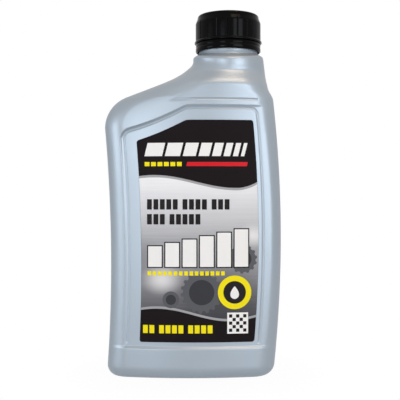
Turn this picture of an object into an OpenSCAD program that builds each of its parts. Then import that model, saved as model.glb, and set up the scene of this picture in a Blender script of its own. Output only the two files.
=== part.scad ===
// Motor oil bottle: a blown plastic bottle with an offset neck, a screw cap and a label.
// The origin is at the middle of the base, +X points to the neck's side, the label faces -Y.

/* [Body] */
// Width of the body at its shoulder
body_w = 108.7; // [100:0.1:118]
// Depth of the body across its base band
body_d = 59.6; // [56:0.1:63]
// Height at which the left side turns into the shoulder
side_h = 156.5; // [145:0.5:168]
// Height from that turn up to the collar's edge
shoulder_h = 46.8; // [44:0.1:50]
// How far the waist stands to the right of the shoulder
lean = 3.4; // [0:0.1:5]
// Height of the waist
waist_h = 80; // [65:1:95]
// How much each side draws in at the base
base_taper = 1.6; // [0:0.1:3]
// Radius of the corners between the sides and the faces
corner_r = 13; // [11:0.5:15]
// Radius of the front and back faces about an upright axis
face_r = 217; // [190:1:260]
// Wall of the blown shell
wall = 0.9; // [0.7:0.05:1.1]

/* [Base] */
// Radius of the heel
heel_r = 7.5; // [6:0.1:9]
// Height of the base band's top edge
band_h = 19; // [16:0.5:22]
// How far the base band stands proud of the faces
band_step = 0.4; // [0.2:0.05:0.6]
// Height of the bevel above the base band
bevel_h = 1.6; // [1.2:0.1:2]
// Width of the ring that the bottle stands on
foot_w = 3; // [2:0.5:4]
// Height of the push-up inside that ring
push_up = 2.8; // [2:0.1:3.5]
// Width of the slope up to the push-up
push_up_run = 7; // [5:0.5:9]
// Width of the pinched weld line under the base
weld_w = 0.8; // [0.6:0.1:1.2]
// Height of the weld line
weld_h = 0.4; // [0.3:0.05:0.6]
// Length of the weld line
weld_l = 60; // [45:1:66]

/* [Shoulder] */
// Radius of the left shoulder
shoulder_r = 21.1; // [18:0.1:24]
// Slope of the left shoulder, in degrees
shoulder_slope = 21.5; // [18:0.5:25]
// Slope at which the shoulder reaches the collar, in degrees
collar_slope = 41; // [36:1:46]
// Radius between the shoulder and the collar
collar_fillet = 6; // [4:0.5:8]
// Radius of the round collar below the neck
collar_r = 22.7; // [22:0.1:24]
// How far the collar's edge dips at the front and back
collar_dip = 3.4; // [0:0.1:4]
// Height of the collar's upright edge
collar_lip = 1.8; // [1.5:0.1:2.5]
// Rise from the collar's edge to the neck
collar_rise = 2.2; // [1.5:0.1:3]
// Distance from the body's right edge to the neck's axis
neck_inset = 33.05; // [30:0.05:36]

/* [Panels] */
// Depth of the label panel
panel_depth = 1; // [0.6:0.1:1.3]
// Distance from the left side to the panel's edge
panel_margin = 10.2; // [9:0.1:11]
// Height of the panel's top edge above the shoulder turn
panel_rise = 13.4; // [11:0.1:15]
// Radius of the panel's corners
panel_corner_r = 6; // [4:0.5:8]
// Distance from the sides to the middle of the channel
channel_margin = 12; // [11.6:0.1:13]
// Width of the channel
channel_w = 1.8; // [1.2:0.1:2.4]
// Depth of the channel and of the shoulder groove
channel_depth = 0.4; // [0.2:0.05:0.5]
// Distance from the base band's bevel up to the channel's ends
channel_foot = 2; // [1:0.5:4]
// Height of the shoulder groove above the panel's top edge
groove_rise = 3.6; // [3:0.1:5]
// Length of the shoulder groove
groove_l = 52; // [40:1:56]
// Distance from the neck's axis left to the groove's middle
groove_inset = 9; // [6:0.5:12]

/* [Neck] */
// Bore of the mouth, as a radius
bore_r = 16; // [15:0.1:16.5]
// Radius of the neck's root, between the threads
neck_r = 17.4; // [17.2:0.1:17.8]
// Radius of the neck below the bead
neck_base_r = 19.05; // [18.6:0.05:19.4]
// Height from the collar's edge to the mouth
neck_h = 24.5; // [23.5:0.1:26]
// How far the bead stands out of the neck's base
bead_w = 0.9; // [0.7:0.05:1.1]
// Thickness of the bead
bead_h = 1.6; // [1.2:0.1:2]
// Height of the bead's slope above its edge
bead_slope = 1.1; // [0.8:0.1:1.4]
// Bevel round the mouth
rim_bevel = 0.4; // [0.2:0.1:0.6]

/* [Cap] */
// Height of the cap
cap_h = 18.2; // [17:0.1:19]
// Radius of the ribbed skirt
cap_r = 21.15; // [20.8:0.05:21.8]
// Radius of the cap's inside
cap_bore_r = 19.1; // [18.9:0.05:19.4]
// Radius of the flange at the skirt's foot
flange_r = 21.8; // [21.6:0.05:22.4]
// Height of that flange
flange_h = 1.4; // [1:0.1:2]
// Thickness of the cap's top
cap_top = 1.8; // [1.4:0.1:2.2]
// Height of the bevel below the cap's top
crown_h = 5.4; // [4.5:0.1:6]
// How far the bevel draws in
crown_in = 1.3; // [0.8:0.1:1.8]
// Radius of the cap's top edge
crown_edge_r = 1.5; // [1:0.1:2]
// Number of grip grooves
grip_count = 20; // [12:1:40]
// Radius of a grip groove
grip_r = 0.5; // [0.3:0.05:0.7]
// Thickness of the sealing liner
liner_t = 0.9; // [0.6:0.1:1.4]

/* [Tamper band] */
// Height of the band
ring_h = 5.5; // [4.8:0.1:6]
// Wall of the band
ring_wall = 0.85; // [0.7:0.05:1]
// Gap between the band and the cap, which the bridges span
ring_gap = 0.25; // [0.15:0.05:0.4]
// Height of the groove round the band above its foot
ring_groove_h = 2.6; // [2.2:0.1:3]
// Depth of that groove
ring_groove_d = 0.3; // [0.2:0.05:0.4]
// Radius of the band's rolled foot
ring_foot_r = 0.9; // [0.6:0.1:1.1]
// Height of the inner lip under the bead above the band's foot
ring_lip_h = 1.2; // [1:0.1:1.6]
// Number of bridges
bridge_count = 12; // [6:1:16]
// Width of a bridge
bridge_w = 0.8; // [0.5:0.1:1.2]

/* [Label and contents] */
// Thickness of the glue under the label
glue = 0.03; // [0.02:0.01:0.1]
// Thickness of the label film
film = 0.15; // [0.1:0.01:0.2]
// Thickness of one layer of ink
ink = 0.03; // [0.02:0.01:0.05]
// Distance from the left side to the label
label_left = 20.2; // [18:0.1:24]
// Distance from the right side to the label
label_right = 15; // [14:0.1:18]
// Distance from the panel's top edge to the label
label_drop = 9.2; // [8:0.1:12]
// Height of the label's lower edge above the base band
label_lift = 4.2; // [3:0.1:6]
// Radius of the label's corners
label_corner_r = 1.5; // [1:0.1:3]
// Distance from the collar's edge down to the oil
fill_drop = 17; // [11:0.5:25]

/* [Print] */
// Height of the upper wave's middle above the label's lower edge
upper_wave_h = 99.2; // [92:0.2:102]
// Rise and fall of the upper wave
upper_wave_rise = 4; // [2:0.1:5]
// Height of the lower wave's middle above the label's lower edge
lower_wave_h = 17; // [15:0.2:19]
// Rise and fall of the lower wave
lower_wave_rise = 3.9; // [2:0.1:4.5]
// Width of the line along each wave
rule_w = 1.3; // [0.8:0.1:2]
// Width of a short bar in the dark and the lower yellow rows
bar_w = 3; // [2:0.1:3.2]
// Gap between short bars
bar_gap = 1; // [0.8:0.1:1.4]
// Width of a gauge bar
gauge_w = 8.4; // [6:0.1:9]
// Number of gauge bars
gauge_count = 6; // [3:1:6]
// Outline round a gauge bar
gauge_rim = 0.7; // [0.4:0.1:0.9]
// Radius of the large gear
gear_r = 13; // [10:0.5:13.5]
// Number of the large gear's teeth
gear_teeth = 18; // [12:1:24]
// Radius of the round seal
seal_r = 10.4; // [8:0.1:11]
// Radius of the seal's dark middle
seal_hole_r = 7; // [5:0.1:7.4]
// Side of a tile of the checked square
tile_w = 2.2; // [1.6:0.1:2.4]
// Tiles along a side of the checked square
tile_count = 5; // [3:2:5]

/* [Hidden] */

// Clearance between faces that meet across a moving fit
seat = 0.05;
// Clearance between the oil and the wall
oil_gap = 0.12;
// Reach of a cutter past the part that it cuts
past = 1;
// Curve steps of the round solids
round_fn = 96;
// Curve steps of rounded outlines
outline_fn = 32;
// Small bevel that breaks an edge
edge_break = 0.3;

// Heights
collar_z = side_h + shoulder_h;
rim_z = collar_z + neck_h;
liner_z = rim_z + seat;
cap_ceiling_z = liner_z + liner_t + seat;
cap_top_z = cap_ceiling_z + cap_top;
cap_z = cap_top_z - cap_h;
ring_top_z = cap_z - ring_gap;
ring_z = ring_top_z - ring_h;
bead_top_z = ring_top_z - ring_wall - seat;
bead_low_z = bead_top_z - bead_h;
panel_top_z = side_h + panel_rise;
label_top_z = panel_top_z - label_drop;
label_z = band_h + label_lift;
oil_z = collar_z - fill_drop;

// Places across the bottle
waist_slim = base_taper * pow(1 - waist_h / side_h, 2);
waist_x = (lean + waist_slim) / 2;
right_x = waist_x + body_w / 2 - waist_slim;
neck_x = right_x - neck_inset;
collar_left_x = neck_x - collar_r;
collar_right_x = neck_x + collar_r;

// Places through the depth
face_y = body_d / 2 - band_step;
floor_y = face_y - panel_depth;
bow = pow(body_w / 2, 2) / (2 * face_r) / (body_d / 2);

// The flank below the collar's right side: its draft, its height and the blend under it
flank_draft = 0.12;
flank_h = 21.3;
flank_blend = 8;
// The flare from the faces to the collar: where it starts and ends below the collar's edge
flare_from = 21;
flare_to = 9;
// The change from an oblong to an oval section, also below the collar's edge
oval_from = 28;
oval_to = 6;
// Height below the collar's edge at which its dip starts
dip_from = 14;
// The shoulder curve's pull at its outer and inner end, as shares of its chord
outer_pull = 0.54;
inner_pull = 0.32;
// Radius of the blend from the collar's top into the neck, and drop of the roof inside
neck_blend = 0.4;
roof_drop = 1.2;
// The push-up's shoulder: its place on the slope and its height, as shares
push_up_knee = [0.36, 0.45];
// The start of the panel's slanting edge, left of the neck's axis, and its fall
slant_inset = 27;
slant_fall = 0.535;
slant_curl = 0.0039;
// Distance from the middle plane at which a cut through the face ends, and its reach
cut_from = 14;
cut_reach = 24;

function mix(a, b, t) = a + (b - a) * t;
function smooth(t) = let (u = max(0, min(1, t))) u * u * (3 - 2 * u);
function between(z, from, to) = smooth((z - from) / (to - from));
function reversed(list) = [for (i = [len(list) - 1 : -1 : 0]) list[i]];

// Sides of the body: a bowed centre line and a half width that tapers to the base
function centre_x(z) = waist_x - lean * pow((z - waist_h) / (side_h - waist_h), 2);
function half_w(z) = body_w / 2 - base_taper * pow(max(0, 1 - z / side_h), 2);
function side_x(z, side) = centre_x(z) + side * half_w(z);

// Right edge: the side, then the flank that draws in to the collar
function right_edge(z) =
    let (flank_z = collar_z - flank_h, flank_x = collar_right_x + flank_draft * (collar_z - z))
    mix(side_x(z, 1), flank_x, between(z, flank_z - flank_blend, flank_z));

// Half depth: base band, bevel, faces, then the flare to the collar
function half_d(z) =
    let (body = mix(body_d / 2, face_y, max(0, min(1, (z - band_h) / bevel_h))))
    mix(body, collar_r, between(z, collar_z - flare_from, collar_z - flare_to));

function bezier(p, t) =
    pow(1 - t, 3) * p[0] + 3 * t * pow(1 - t, 2) * p[1] + 3 * t * t * (1 - t) * p[2] + pow(t, 3) * p[3];

// Left shoulder, set in by the wall w: a round turn, a long curve and a fillet to the collar
function shoulder_curve(w) =
    let (
        turn = [side_x(side_h, -1) + shoulder_r, side_h],
        p0 = turn + (shoulder_r - w) * [-sin(shoulder_slope), cos(shoulder_slope)],
        nook = [collar_left_x - collar_fillet, collar_z - collar_lip],
        p3 = nook + (collar_fillet + w) * [sin(collar_slope), -cos(collar_slope)],
        chord = norm(p3 - p0)
    )
    [
        p0,
        p0 + outer_pull * chord * [cos(shoulder_slope), sin(shoulder_slope)],
        p3 - inner_pull * chord * [cos(collar_slope), sin(collar_slope)],
        p3
    ];

// Left edge above the base, from the bottom up, as [x, z, slope] points
function left_edge(w, side_steps, turn_steps, curve_steps, fillet_steps) =
    let (
        turn = [side_x(side_h, -1) + shoulder_r, side_h],
        nook = [collar_left_x - collar_fillet, collar_z - collar_lip],
        curve = shoulder_curve(w),
        low = band_h + bevel_h
    )
    concat(
        [for (z = [band_h, low]) [side_x(z, -1) + w, z, 90]],
        [for (i = [1 : side_steps]) let (z = mix(low, side_h, i / side_steps))
            [side_x(z, -1) + w, z, 90]],
        [for (i = [1 : turn_steps])
            let (
                a = 180 - (90 - shoulder_slope) * i / turn_steps,
                p = turn + (shoulder_r - w) * [cos(a), sin(a)]
            )
            [p[0], p[1], a - 90]],
        [for (i = [1 : curve_steps])
            let (t = i / curve_steps, p = bezier(curve, t))
            [p[0], p[1], mix(shoulder_slope, collar_slope, t)]],
        [for (i = [1 : fillet_steps])
            let (
                a = mix(collar_slope, 90, i / fillet_steps),
                p = nook + (collar_fillet + w) * [sin(a), -cos(a)]
            )
            [p[0], p[1], a]]
    );

// Points once round a section, as [x sign, y sign, end share, face share, corner angle, oval angle]
end_angle = 16;
face_angle = 64;
function quarter(ends, arcs, faces) = concat(
    [for (i = [0 : ends - 1]) [1, i / ends, 0, end_angle * i / ends]],
    [for (i = [0 : arcs - 1]) [1, 1, 90 * i / arcs, mix(end_angle, face_angle, i / arcs)]],
    [for (i = [0 : faces - 1]) [1 - i / faces, 1, 90, mix(face_angle, 90, i / faces)]]
);
function around(ends, arcs, faces) =
    let (
        q = quarter(ends, arcs, faces),
        right = [for (p = q) concat([1, 1], p)],
        left = [for (i = [len(q) - 1 : -1 : 1]) concat([-1, 1], q[i])],
        half = concat(right, [[1, 1, 0, 1, 90, 90]], left)
    )
    concat(half, [for (p = half) [-p[0], -p[1], p[2], p[3], p[4], p[5]]]);

// One section: a rounded oblong from x0 to x1 that turns into an oval by the share oval, with
// bowed faces and its front and back dipped. Where the left edge slopes, its corners are longer
// across, so that the rounding measured square to the edge stays the same.
function section(turn, z, x0, x1, b, corner, slope, oval, bowed, dip) =
    let (
        a = (x1 - x0) / 2,
        c = max(1, min(corner, a - 1, b - 1)),
        left_c = min(c / sin(slope), a - 1)
    )
    [for (u = turn)
        let (
            cx = u[0] < 0 ? left_c : c,
            box = [(a - cx) * u[2] + cx * cos(u[4]), (b - c) * u[3] + c * sin(u[4])],
            p = mix(box, [a * cos(u[5]), b * sin(u[5])], oval)
        )
        [
            (x0 + x1) / 2 + u[0] * p[0],
            u[1] * p[1] * (1 - bowed * pow(p[0] / a, 2)),
            z - dip * pow(sin(u[5]), 2)
        ]
    ];

// A section of the base, set in by a width from the body's outline
function base_section(turn, z, set_in) =
    section(
        turn, z, side_x(z, -1) + set_in, side_x(z, 1) - set_in, body_d / 2 - set_in,
        corner_r - set_in, 90, 0, bow, 0
    );

// A section of the body through a point of its left edge
function body_section(turn, p, w) =
    let (z = p[1], rounding = between(z, collar_z - oval_from, collar_z - oval_to))
    section(
        turn, z, p[0], right_edge(z) - w, half_d(z) - w, corner_r - w, p[2], rounding,
        bow * (1 - between(z, collar_z - oval_from, collar_z - flare_to)),
        collar_dip * between(z, collar_z - dip_from, collar_z)
    );

// A round section about the neck's axis
function neck_section(turn, z, r, dip) =
    section(turn, z, neck_x - r, neck_x + r, r, r, 90, 1, 0, dip);

// All sections of the body, set in by the wall w, from the push-up to inside the neck
function body_sections(turn, w, steps) =
    let (
        top_r = w > 0 ? bore_r : neck_base_r,
        // Inside, the roof runs below the collar's slope by the wall
        fall = w * roof_drop,
        run = push_up_run,
        base = [
            [foot_w + run, push_up],
            [foot_w + run * push_up_knee[0], push_up * push_up_knee[1]],
            [foot_w - w / 2, 0]
        ]
    )
    concat(
        [for (s = base) base_section(turn, s[1] + w, heel_r + s[0])],
        [for (i = [0 : steps[0]]) let (a = 90 * i / steps[0])
            base_section(turn, heel_r - (heel_r - w) * cos(a), heel_r - (heel_r - w) * sin(a))],
        [for (p = left_edge(w, steps[1], steps[2], steps[3], steps[4])) body_section(turn, p, w)],
        [
            neck_section(turn, collar_z - fall, collar_r - w, collar_dip),
            neck_section(turn, collar_z + collar_rise - fall, top_r + neck_blend, collar_dip / 2),
            neck_section(turn, collar_z + collar_rise - fall, top_r - 2 * past, 0)
        ]
    );

module loft(sections) {
    n = len(sections[0]);
    m = len(sections);
    sides = [
        for (r = [0 : m - 2], i = [0 : n - 1]) let (j = (i + 1) % n)
            each [
                [r * n + i, (r + 1) * n + i, (r + 1) * n + j],
                [r * n + i, (r + 1) * n + j, r * n + j]
            ]
    ];
    // Each end is a fan about the middle of its section
    middles = [for (s = [sections[0], sections[m - 1]]) (s[0] + s[n / 2]) / 2];
    fans = [
        for (i = [0 : n - 1]) let (j = (i + 1) % n, top = (m - 1) * n)
            each [[m * n, i, j], [m * n + 1, top + j, top + i]]
    ];
    polyhedron(concat([for (s = sections) each s], middles), concat(sides, fans));
}

// Fine sections outside, coarser ones inside where nothing shows
module outer_form() loft(body_sections(around(2, 8, 4), 0, [6, 6, 8, 12, 4]));
module inner_form(w) loft(body_sections(around(1, 4, 3), w, [4, 5, 6, 9, 3]));

// Outline that follows the body's sides and shoulder, in the plane of the face
module face_outline(left, right, bottom, top) {
    slant_x = neck_x - slant_inset;
    left_x = side_x(side_h, -1) + left;
    slant = [
        for (i = [0 : 4])
            let (x = mix(slant_x, left_x, i / 4), d = slant_x - x)
            [x, top - d * (slant_fall - slant_curl * d)]
    ];
    upper = slant[4][1];
    polygon(concat(
        [for (i = [0 : 4]) let (z = mix(bottom, upper, i / 4)) [side_x(z, -1) + left, z]],
        [for (i = [3 : -1 : 0]) slant[i]],
        [for (i = [6 : -1 : 0]) let (z = mix(bottom, top, i / 6)) [side_x(z, 1) - right, z]]
    ));
}

// Rounds the corners of an outline by r
module rounded(r) {
    offset(r = r, $fn = outline_fn) offset(delta = -r) children();
}

// Upright prism of an outline, from inside the bottle out through the front
module through_face() {
    translate([0, cut_from - floor_y, 0]) rotate([90, 0, 0]) linear_extrude(cut_reach) children();
}

// Upright drum whose front is the panel's floor, moved out by s
module drum(s) {
    translate([0, face_r - floor_y, 0]) cylinder(r = face_r + s, h = cap_top_z, $fn = 2 * round_fn);
}

// The same drum with the bevel above the base band, which runs out on the band's face
module bevelled_drum(s) {
    out = panel_depth + band_step + past;
    translate([0, face_r - floor_y, 0]) rotate_extrude($fn = 2 * round_fn) polygon([
        [0, 0],
        [face_r + s + out, 0],
        [face_r + s + out, band_h - past],
        [face_r + s, band_h + bevel_h],
        [face_r + s, cap_top_z],
        [0, cap_top_z]
    ]);
}

// What the front panel takes away: the panel set out by a width and down by a depth
module panel_cut(grow, s) {
    difference() {
        through_face() rounded(panel_corner_r) offset(delta = grow)
            face_outline(panel_margin, -panel_corner_r, band_h - past, panel_top_z);
        bevelled_drum(s);
    }
}

module channel_cut() {
    difference() {
        through_face() difference() {
            rounded(panel_corner_r / 2 + channel_w / 2) channel_outline(channel_margin - channel_w / 2);
            rounded(panel_corner_r / 2) channel_outline(channel_margin + channel_w / 2);
            translate([-body_w, 0]) square([2 * body_w, band_h + bevel_h + channel_foot]);
        }
        drum(-channel_depth);
    }
}

module channel_outline(m) {
    face_outline(m, m, 0, panel_top_z - m + panel_margin);
}

module shoulder_groove_cut() {
    difference() {
        through_face() translate([neck_x - groove_inset, panel_top_z + groove_rise])
            rounded(channel_w / 2 - 0.01) square([groove_l, channel_w], center = true);
        drum(panel_depth - channel_depth);
    }
}

module both_faces() {
    children();
    mirror([0, 1, 0]) children();
}

// The space inside the shell, set in by w
module inside(w) {
    difference() {
        inner_form(w);
        both_faces() panel_cut(w, -w);
    }
}

module neck_outside() {
    root_z = collar_z - oval_to;
    translate([neck_x, 0, 0]) rotate_extrude($fn = round_fn) polygon([
        [0, root_z],
        [neck_base_r, root_z],
        [neck_base_r, bead_low_z],
        [neck_base_r + bead_w, bead_low_z + edge_break],
        [neck_base_r + bead_w, bead_top_z - bead_slope / 2],
        [neck_r, bead_top_z + bead_slope / 2],
        [neck_r, rim_z - rim_bevel],
        [neck_r - rim_bevel, rim_z],
        [0, rim_z]
    ]);
}

module weld_line() {
    translate([waist_x - weld_l / 2, -weld_w / 2, push_up - weld_h])
        cube([weld_l, weld_w, weld_h + wall / 2]);
}

module bottle() {
    bore_z = collar_z - oval_to + roof_drop + wall;
    color("#B4BAC2") difference() {
        union() {
            difference() {
                outer_form();
                both_faces() {
                    panel_cut(0, 0);
                    channel_cut();
                    shoulder_groove_cut();
                }
            }
            neck_outside();
            weld_line();
        }
        inside(wall);
        translate([neck_x, 0, bore_z]) cylinder(r = bore_r, h = rim_z - bore_z + past, $fn = round_fn);
    }
}

module cap() {
    crown_z = cap_top_z - crown_h;
    crown_r = cap_r - crown_in;
    color("#1B1C1F") difference() {
        translate([neck_x, 0, 0]) rotate_extrude($fn = round_fn) polygon(concat(
            [
                [cap_bore_r, cap_z],
                [flange_r - edge_break, cap_z],
                [flange_r, cap_z + edge_break],
                [flange_r, cap_z + flange_h - edge_break],
                [cap_r, cap_z + flange_h],
                [cap_r, crown_z],
                [crown_r + edge_break, cap_top_z - crown_h / 2]
            ],
            [for (a = [0 : 18 : 90])
                [crown_r - crown_edge_r * (1 - cos(a)), cap_top_z - crown_edge_r * (1 - sin(a))]],
            [[0, cap_top_z], [0, cap_ceiling_z], [cap_bore_r, cap_ceiling_z]]
        ));
        // One groove lies a little left of the front's middle
        first = -0.2;
        for (i = [0 : grip_count - 1])
            translate([neck_x, 0, cap_z + flange_h + 2 * seat])
                rotate([0, 0, (i + first) * 360 / grip_count])
                    translate([cap_r + 2 * seat, 0, 0]) cylinder(r = grip_r, h = cap_h, $fn = 24);
    }
}

module tamper_band() {
    r1 = cap_r - seat;
    r0 = r1 - ring_wall;
    lip_r = neck_base_r + edge_break;
    lip_top_z = bead_low_z - 4 * seat;
    groove_z = ring_z + ring_groove_h;
    color("#1B1C1F") {
        translate([neck_x, 0, 0]) rotate_extrude($fn = round_fn) polygon(concat(
            [[r0, ring_top_z], [r0, lip_top_z], [lip_r, lip_top_z]],
            [[lip_r, lip_top_z - edge_break], [r0, ring_z + ring_lip_h], [r0, ring_z + edge_break]],
            [for (a = [0 : 30 : 90])
                [r1 - ring_foot_r * (1 - sin(a)), ring_z + ring_foot_r * (1 - cos(a))]],
            [
                [r1, groove_z],
                [r1 - ring_groove_d, groove_z + ring_groove_d],
                [r1 - ring_groove_d, groove_z + 2 * ring_groove_d],
                [r1 - ring_groove_d / 3, groove_z + 3 * ring_groove_d],
                [r1 - ring_groove_d / 3, ring_top_z]
            ]
        ));
        for (i = [0 : bridge_count - 1])
            translate([neck_x, 0, 0]) rotate([0, 0, i * 360 / bridge_count])
                translate([r0 + 2 * seat, -bridge_w / 2, ring_top_z - edge_break])
                    cube([ring_wall - 7 * seat, bridge_w, edge_break + ring_gap - seat]);
    }
}

module cap_liner() {
    color("#E9E6DC") translate([neck_x, 0, liner_z])
        cylinder(r = cap_bore_r - 3 * seat, h = liner_t, $fn = round_fn);
}

// Skin of an outline that lies on the panel's floor, from s0 to s1 above it
module skin(s0, s1) {
    difference() {
        intersection() {
            through_face() children();
            drum(s1);
        }
        drum(s0);
    }
}

module label_outline() {
    rounded(label_corner_r) face_outline(label_left, label_right, label_z, label_top_z);
}

// The print: places on the label, as distances from its lower left corner
label_x = side_x(label_z, -1) + label_left;
top_row_at = [3, 115];
red_rule_at = [29, 108.8];
top_dashes_at = [3.2, 108.8];
dark_rows_at = [[4.7, 82], [4.7, 72.8]];
gauge_at = [5.4, 46.6];
dashes_at = [5, 41.3];
gear_at = [38.5, 30.8];
small_gear_at = [64, 51.3];
pulley_at = [19.5, 26.3];
seal_at = [58.9, 30.8];
check_at = [55.4, 6.4];
low_row_at = [2.2, 5.6];
// Distance of the ink from the label's edge, and how far a line's ink laps over a field's
ink_edge = 0.1;
ink_lap = 0.15;
// Heights of the rows
top_row_h = 8.2;
thin_row_h = 2.6;
dark_row_h = 6.4;
low_row_h = 5;

// Waves: cosines of these half lengths from a crest; the upper one is lifted at its right end
upper_crest = 9;
upper_run = 51;
upper_lift = 0.015;
lower_crest = 11;
lower_run = 45;
function upper_wave(x) =
    label_z + upper_wave_h + upper_wave_rise * cos(180 * (x - upper_crest) / upper_run)
        + upper_lift * pow(max(0, x - upper_crest - upper_run), 2);
function lower_wave(x) =
    label_z + lower_wave_h + lower_wave_rise * cos(180 * (x - lower_crest) / lower_run);
wave_xs = [for (x = [-8 : 4 : body_w - label_left]) x];
function upper_line(rise) = [for (x = wave_xs) [label_x + x, upper_wave(x) + rise]];
function lower_line(rise) = [for (x = wave_xs) [label_x + x, lower_wave(x) + rise]];

module strip(low, high) polygon(concat(low, reversed(high)));

// Ink inside the label's edge, up to a number of layers above the film
module print_ink(colour, layers) {
    color(colour) skin(glue + film / 2, glue + film + layers * ink) intersection() {
        offset(delta = -ink_edge) label_outline();
        children();
    }
}

module on_label(at) {
    translate([label_x + at[0], label_z + at[1]]) children();
}

// Slanted bar
module slanted(w, h) {
    lean_x = h / 4;
    polygon([[0, 0], [w, 0], [w + lean_x, h], [lean_x, h]]);
}

// Rows of upright bars in groups
module bar_row(groups, h) {
    group_gap = 3 * bar_gap;
    for (g = [0 : len(groups) - 1], i = [0 : groups[g] - 1]) {
        before = g == 0 ? 0 : [for (k = 0, n = 0; k <= g; n = n + groups[k], k = k + 1) n][g];
        translate([(before + i) * (bar_w + bar_gap) + g * (group_gap - bar_gap), 0])
            square([bar_w, h]);
    }
}

// Row of slanted bars, each narrower than the one before
module speed_row() {
    widths = [11, 9.4, 8, 6.6, 5.4, 4.2, 3.2, 2.2];
    gap = 1.7;
    for (i = [0 : len(widths) - 1])
        translate([i == 0 ? 0 : [for (k = 0, x = 0; k <= i; x = x + widths[k] + gap, k = k + 1) x][i], 0])
            slanted(widths[i], top_row_h);
}

module dash_row(count, w, gap, h) {
    for (i = [0 : count - 1]) translate([i * (w + gap), 0]) square([w, h]);
}

// Gauge bars that rise to the right
module gauge(rim) {
    step = 10.7;
    low_h = 12.7;
    rise = 2.1;
    for (i = [0 : gauge_count - 1])
        translate([i * step - rim, -rim]) square([gauge_w + 2 * rim, low_h + rise * i + 2 * rim]);
}

module gear_outline(r, teeth) {
    // A tooth's height as a share of the radius, and the shares of a pitch at its corners
    tooth = 0.11;
    at = [0, 0.15, 0.5, 0.65];
    polygon([for (i = [0 : teeth - 1], k = [0 : 3])
        let (a = (i + at[k]) * 360 / teeth, d = k == 0 || k == 3 ? r * (1 - tooth) : r)
        d * [cos(a), sin(a)]]);
}

module oil_drop(r) {
    polygon([for (a = [0 : 15 : 345])
        let (up = max(0, sin(a)))
        [r * cos(a) * (1 - 0.55 * up * up), r * (sin(a) + 0.9 * up)]]);
}

module tiles() {
    for (i = [0 : tile_count - 1], k = [0 : tile_count - 1])
        if ((i + k) % 2 == 0)
            translate([i, k] * tile_w) square(tile_w - 2 * ink_edge);
}

module label_print() {
    small_r = 9;
    pulley_r = 5.2;
    print_ink("#C4C5C8", 1) strip(lower_line(0), upper_line(0));
    print_ink("#F3F3F2", 1) on_label(top_row_at) speed_row();
    print_ink("#D8202A", 1) on_label(red_rule_at) slanted(37.5, thin_row_h);
    print_ink("#F7E718", 1) {
        on_label(top_dashes_at) dash_row(6, bar_w, bar_gap, thin_row_h);
        on_label(low_row_at) bar_row([2, 4, 4], low_row_h);
    }
    print_ink("#A6A7AA", 2) {
        strip(upper_line(-rule_w), upper_line(ink_lap));
        strip(lower_line(-ink_lap), lower_line(rule_w));
    }
    print_ink("#5B5D62", 2) {
        on_label(gear_at) gear_outline(gear_r, gear_teeth);
        on_label(small_gear_at) gear_outline(small_r, gear_teeth - 4);
        on_label(pulley_at) circle(r = pulley_r, $fn = 48);
    }
    print_ink("#3A3B3F", 3) {
        on_label(gear_at) circle(r = 0.6 * gear_r, $fn = 48);
        on_label(small_gear_at) circle(r = 0.6 * small_r, $fn = 48);
        on_label(pulley_at) circle(r = 0.6 * pulley_r, $fn = 48);
    }
    print_ink("#1D191B", 4) {
        on_label(dark_rows_at[0]) bar_row([5, 4, 3], dark_row_h);
        on_label(dark_rows_at[1]) bar_row([3, 5], dark_row_h);
        on_label(gauge_at) gauge(gauge_rim);
    }
    print_ink("#F7E718", 4) {
        on_label(dashes_at) dash_row(15, 0.75 * bar_w, bar_gap, thin_row_h);
        on_label(seal_at) circle(r = seal_r, $fn = 64);
    }
    print_ink("#F3F3F2", 4) on_label(check_at - tile_w / 2 * [1, 1])
        square((tile_count + 1) * tile_w - 2 * ink_edge);
    print_ink("#F3F3F2", 5) on_label(gauge_at) gauge(0);
    print_ink("#1D191B", 5) {
        on_label(seal_at) circle(r = seal_hole_r, $fn = 48);
        on_label(check_at) tiles();
    }
    print_ink("#F3F3F2", 6) on_label(seal_at) translate([0, -seal_hole_r / 5]) oil_drop(seal_hole_r * 0.38);
}

module front_label() {
    color("#1D1B1E") skin(glue, glue + film) label_outline();
    label_print();
}

module oil() {
    color("#B9792A") intersection() {
        inside(wall + oil_gap);
        translate([-body_w, -body_d, 0]) cube([2 * body_w, 2 * body_d, oil_z]);
    }
}

bottle();
cap();
tamper_band();
cap_liner();
front_label();
oil();
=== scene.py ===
"""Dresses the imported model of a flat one-quart motor oil bottle.

The bottle is a blown silver polyethylene shell whose neck stands off to one side. It has a
ribbed black screw cap with a foam liner, a tamper band under the cap, a printed film in the
recess of its front face, and the oil inside. Forms are worked out in millimetres, in the
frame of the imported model, and put into the meshes in metres.
"""

import logging
import math
from dataclasses import dataclass, field, fields
from enum import Enum
from typing import Any, Callable, Iterable

import bmesh
import bpy
import numpy as np
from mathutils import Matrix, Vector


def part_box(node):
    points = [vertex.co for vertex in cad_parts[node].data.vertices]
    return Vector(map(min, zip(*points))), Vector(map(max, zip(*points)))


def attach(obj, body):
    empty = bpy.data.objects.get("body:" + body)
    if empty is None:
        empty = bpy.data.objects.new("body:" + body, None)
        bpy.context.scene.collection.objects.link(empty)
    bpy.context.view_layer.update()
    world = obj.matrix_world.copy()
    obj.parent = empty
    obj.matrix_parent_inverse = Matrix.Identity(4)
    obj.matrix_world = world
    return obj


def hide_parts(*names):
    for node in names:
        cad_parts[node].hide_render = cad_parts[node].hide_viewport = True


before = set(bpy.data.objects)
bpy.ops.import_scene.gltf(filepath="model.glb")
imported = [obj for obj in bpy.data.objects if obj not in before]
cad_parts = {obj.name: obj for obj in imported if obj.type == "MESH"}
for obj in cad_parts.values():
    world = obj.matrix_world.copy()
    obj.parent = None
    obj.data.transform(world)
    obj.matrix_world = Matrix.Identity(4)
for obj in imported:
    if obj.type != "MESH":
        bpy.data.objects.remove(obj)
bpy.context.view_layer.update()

LOG = logging.getLogger("bottle")
MM = 0.001
TURN = 2.0 * math.pi
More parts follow.
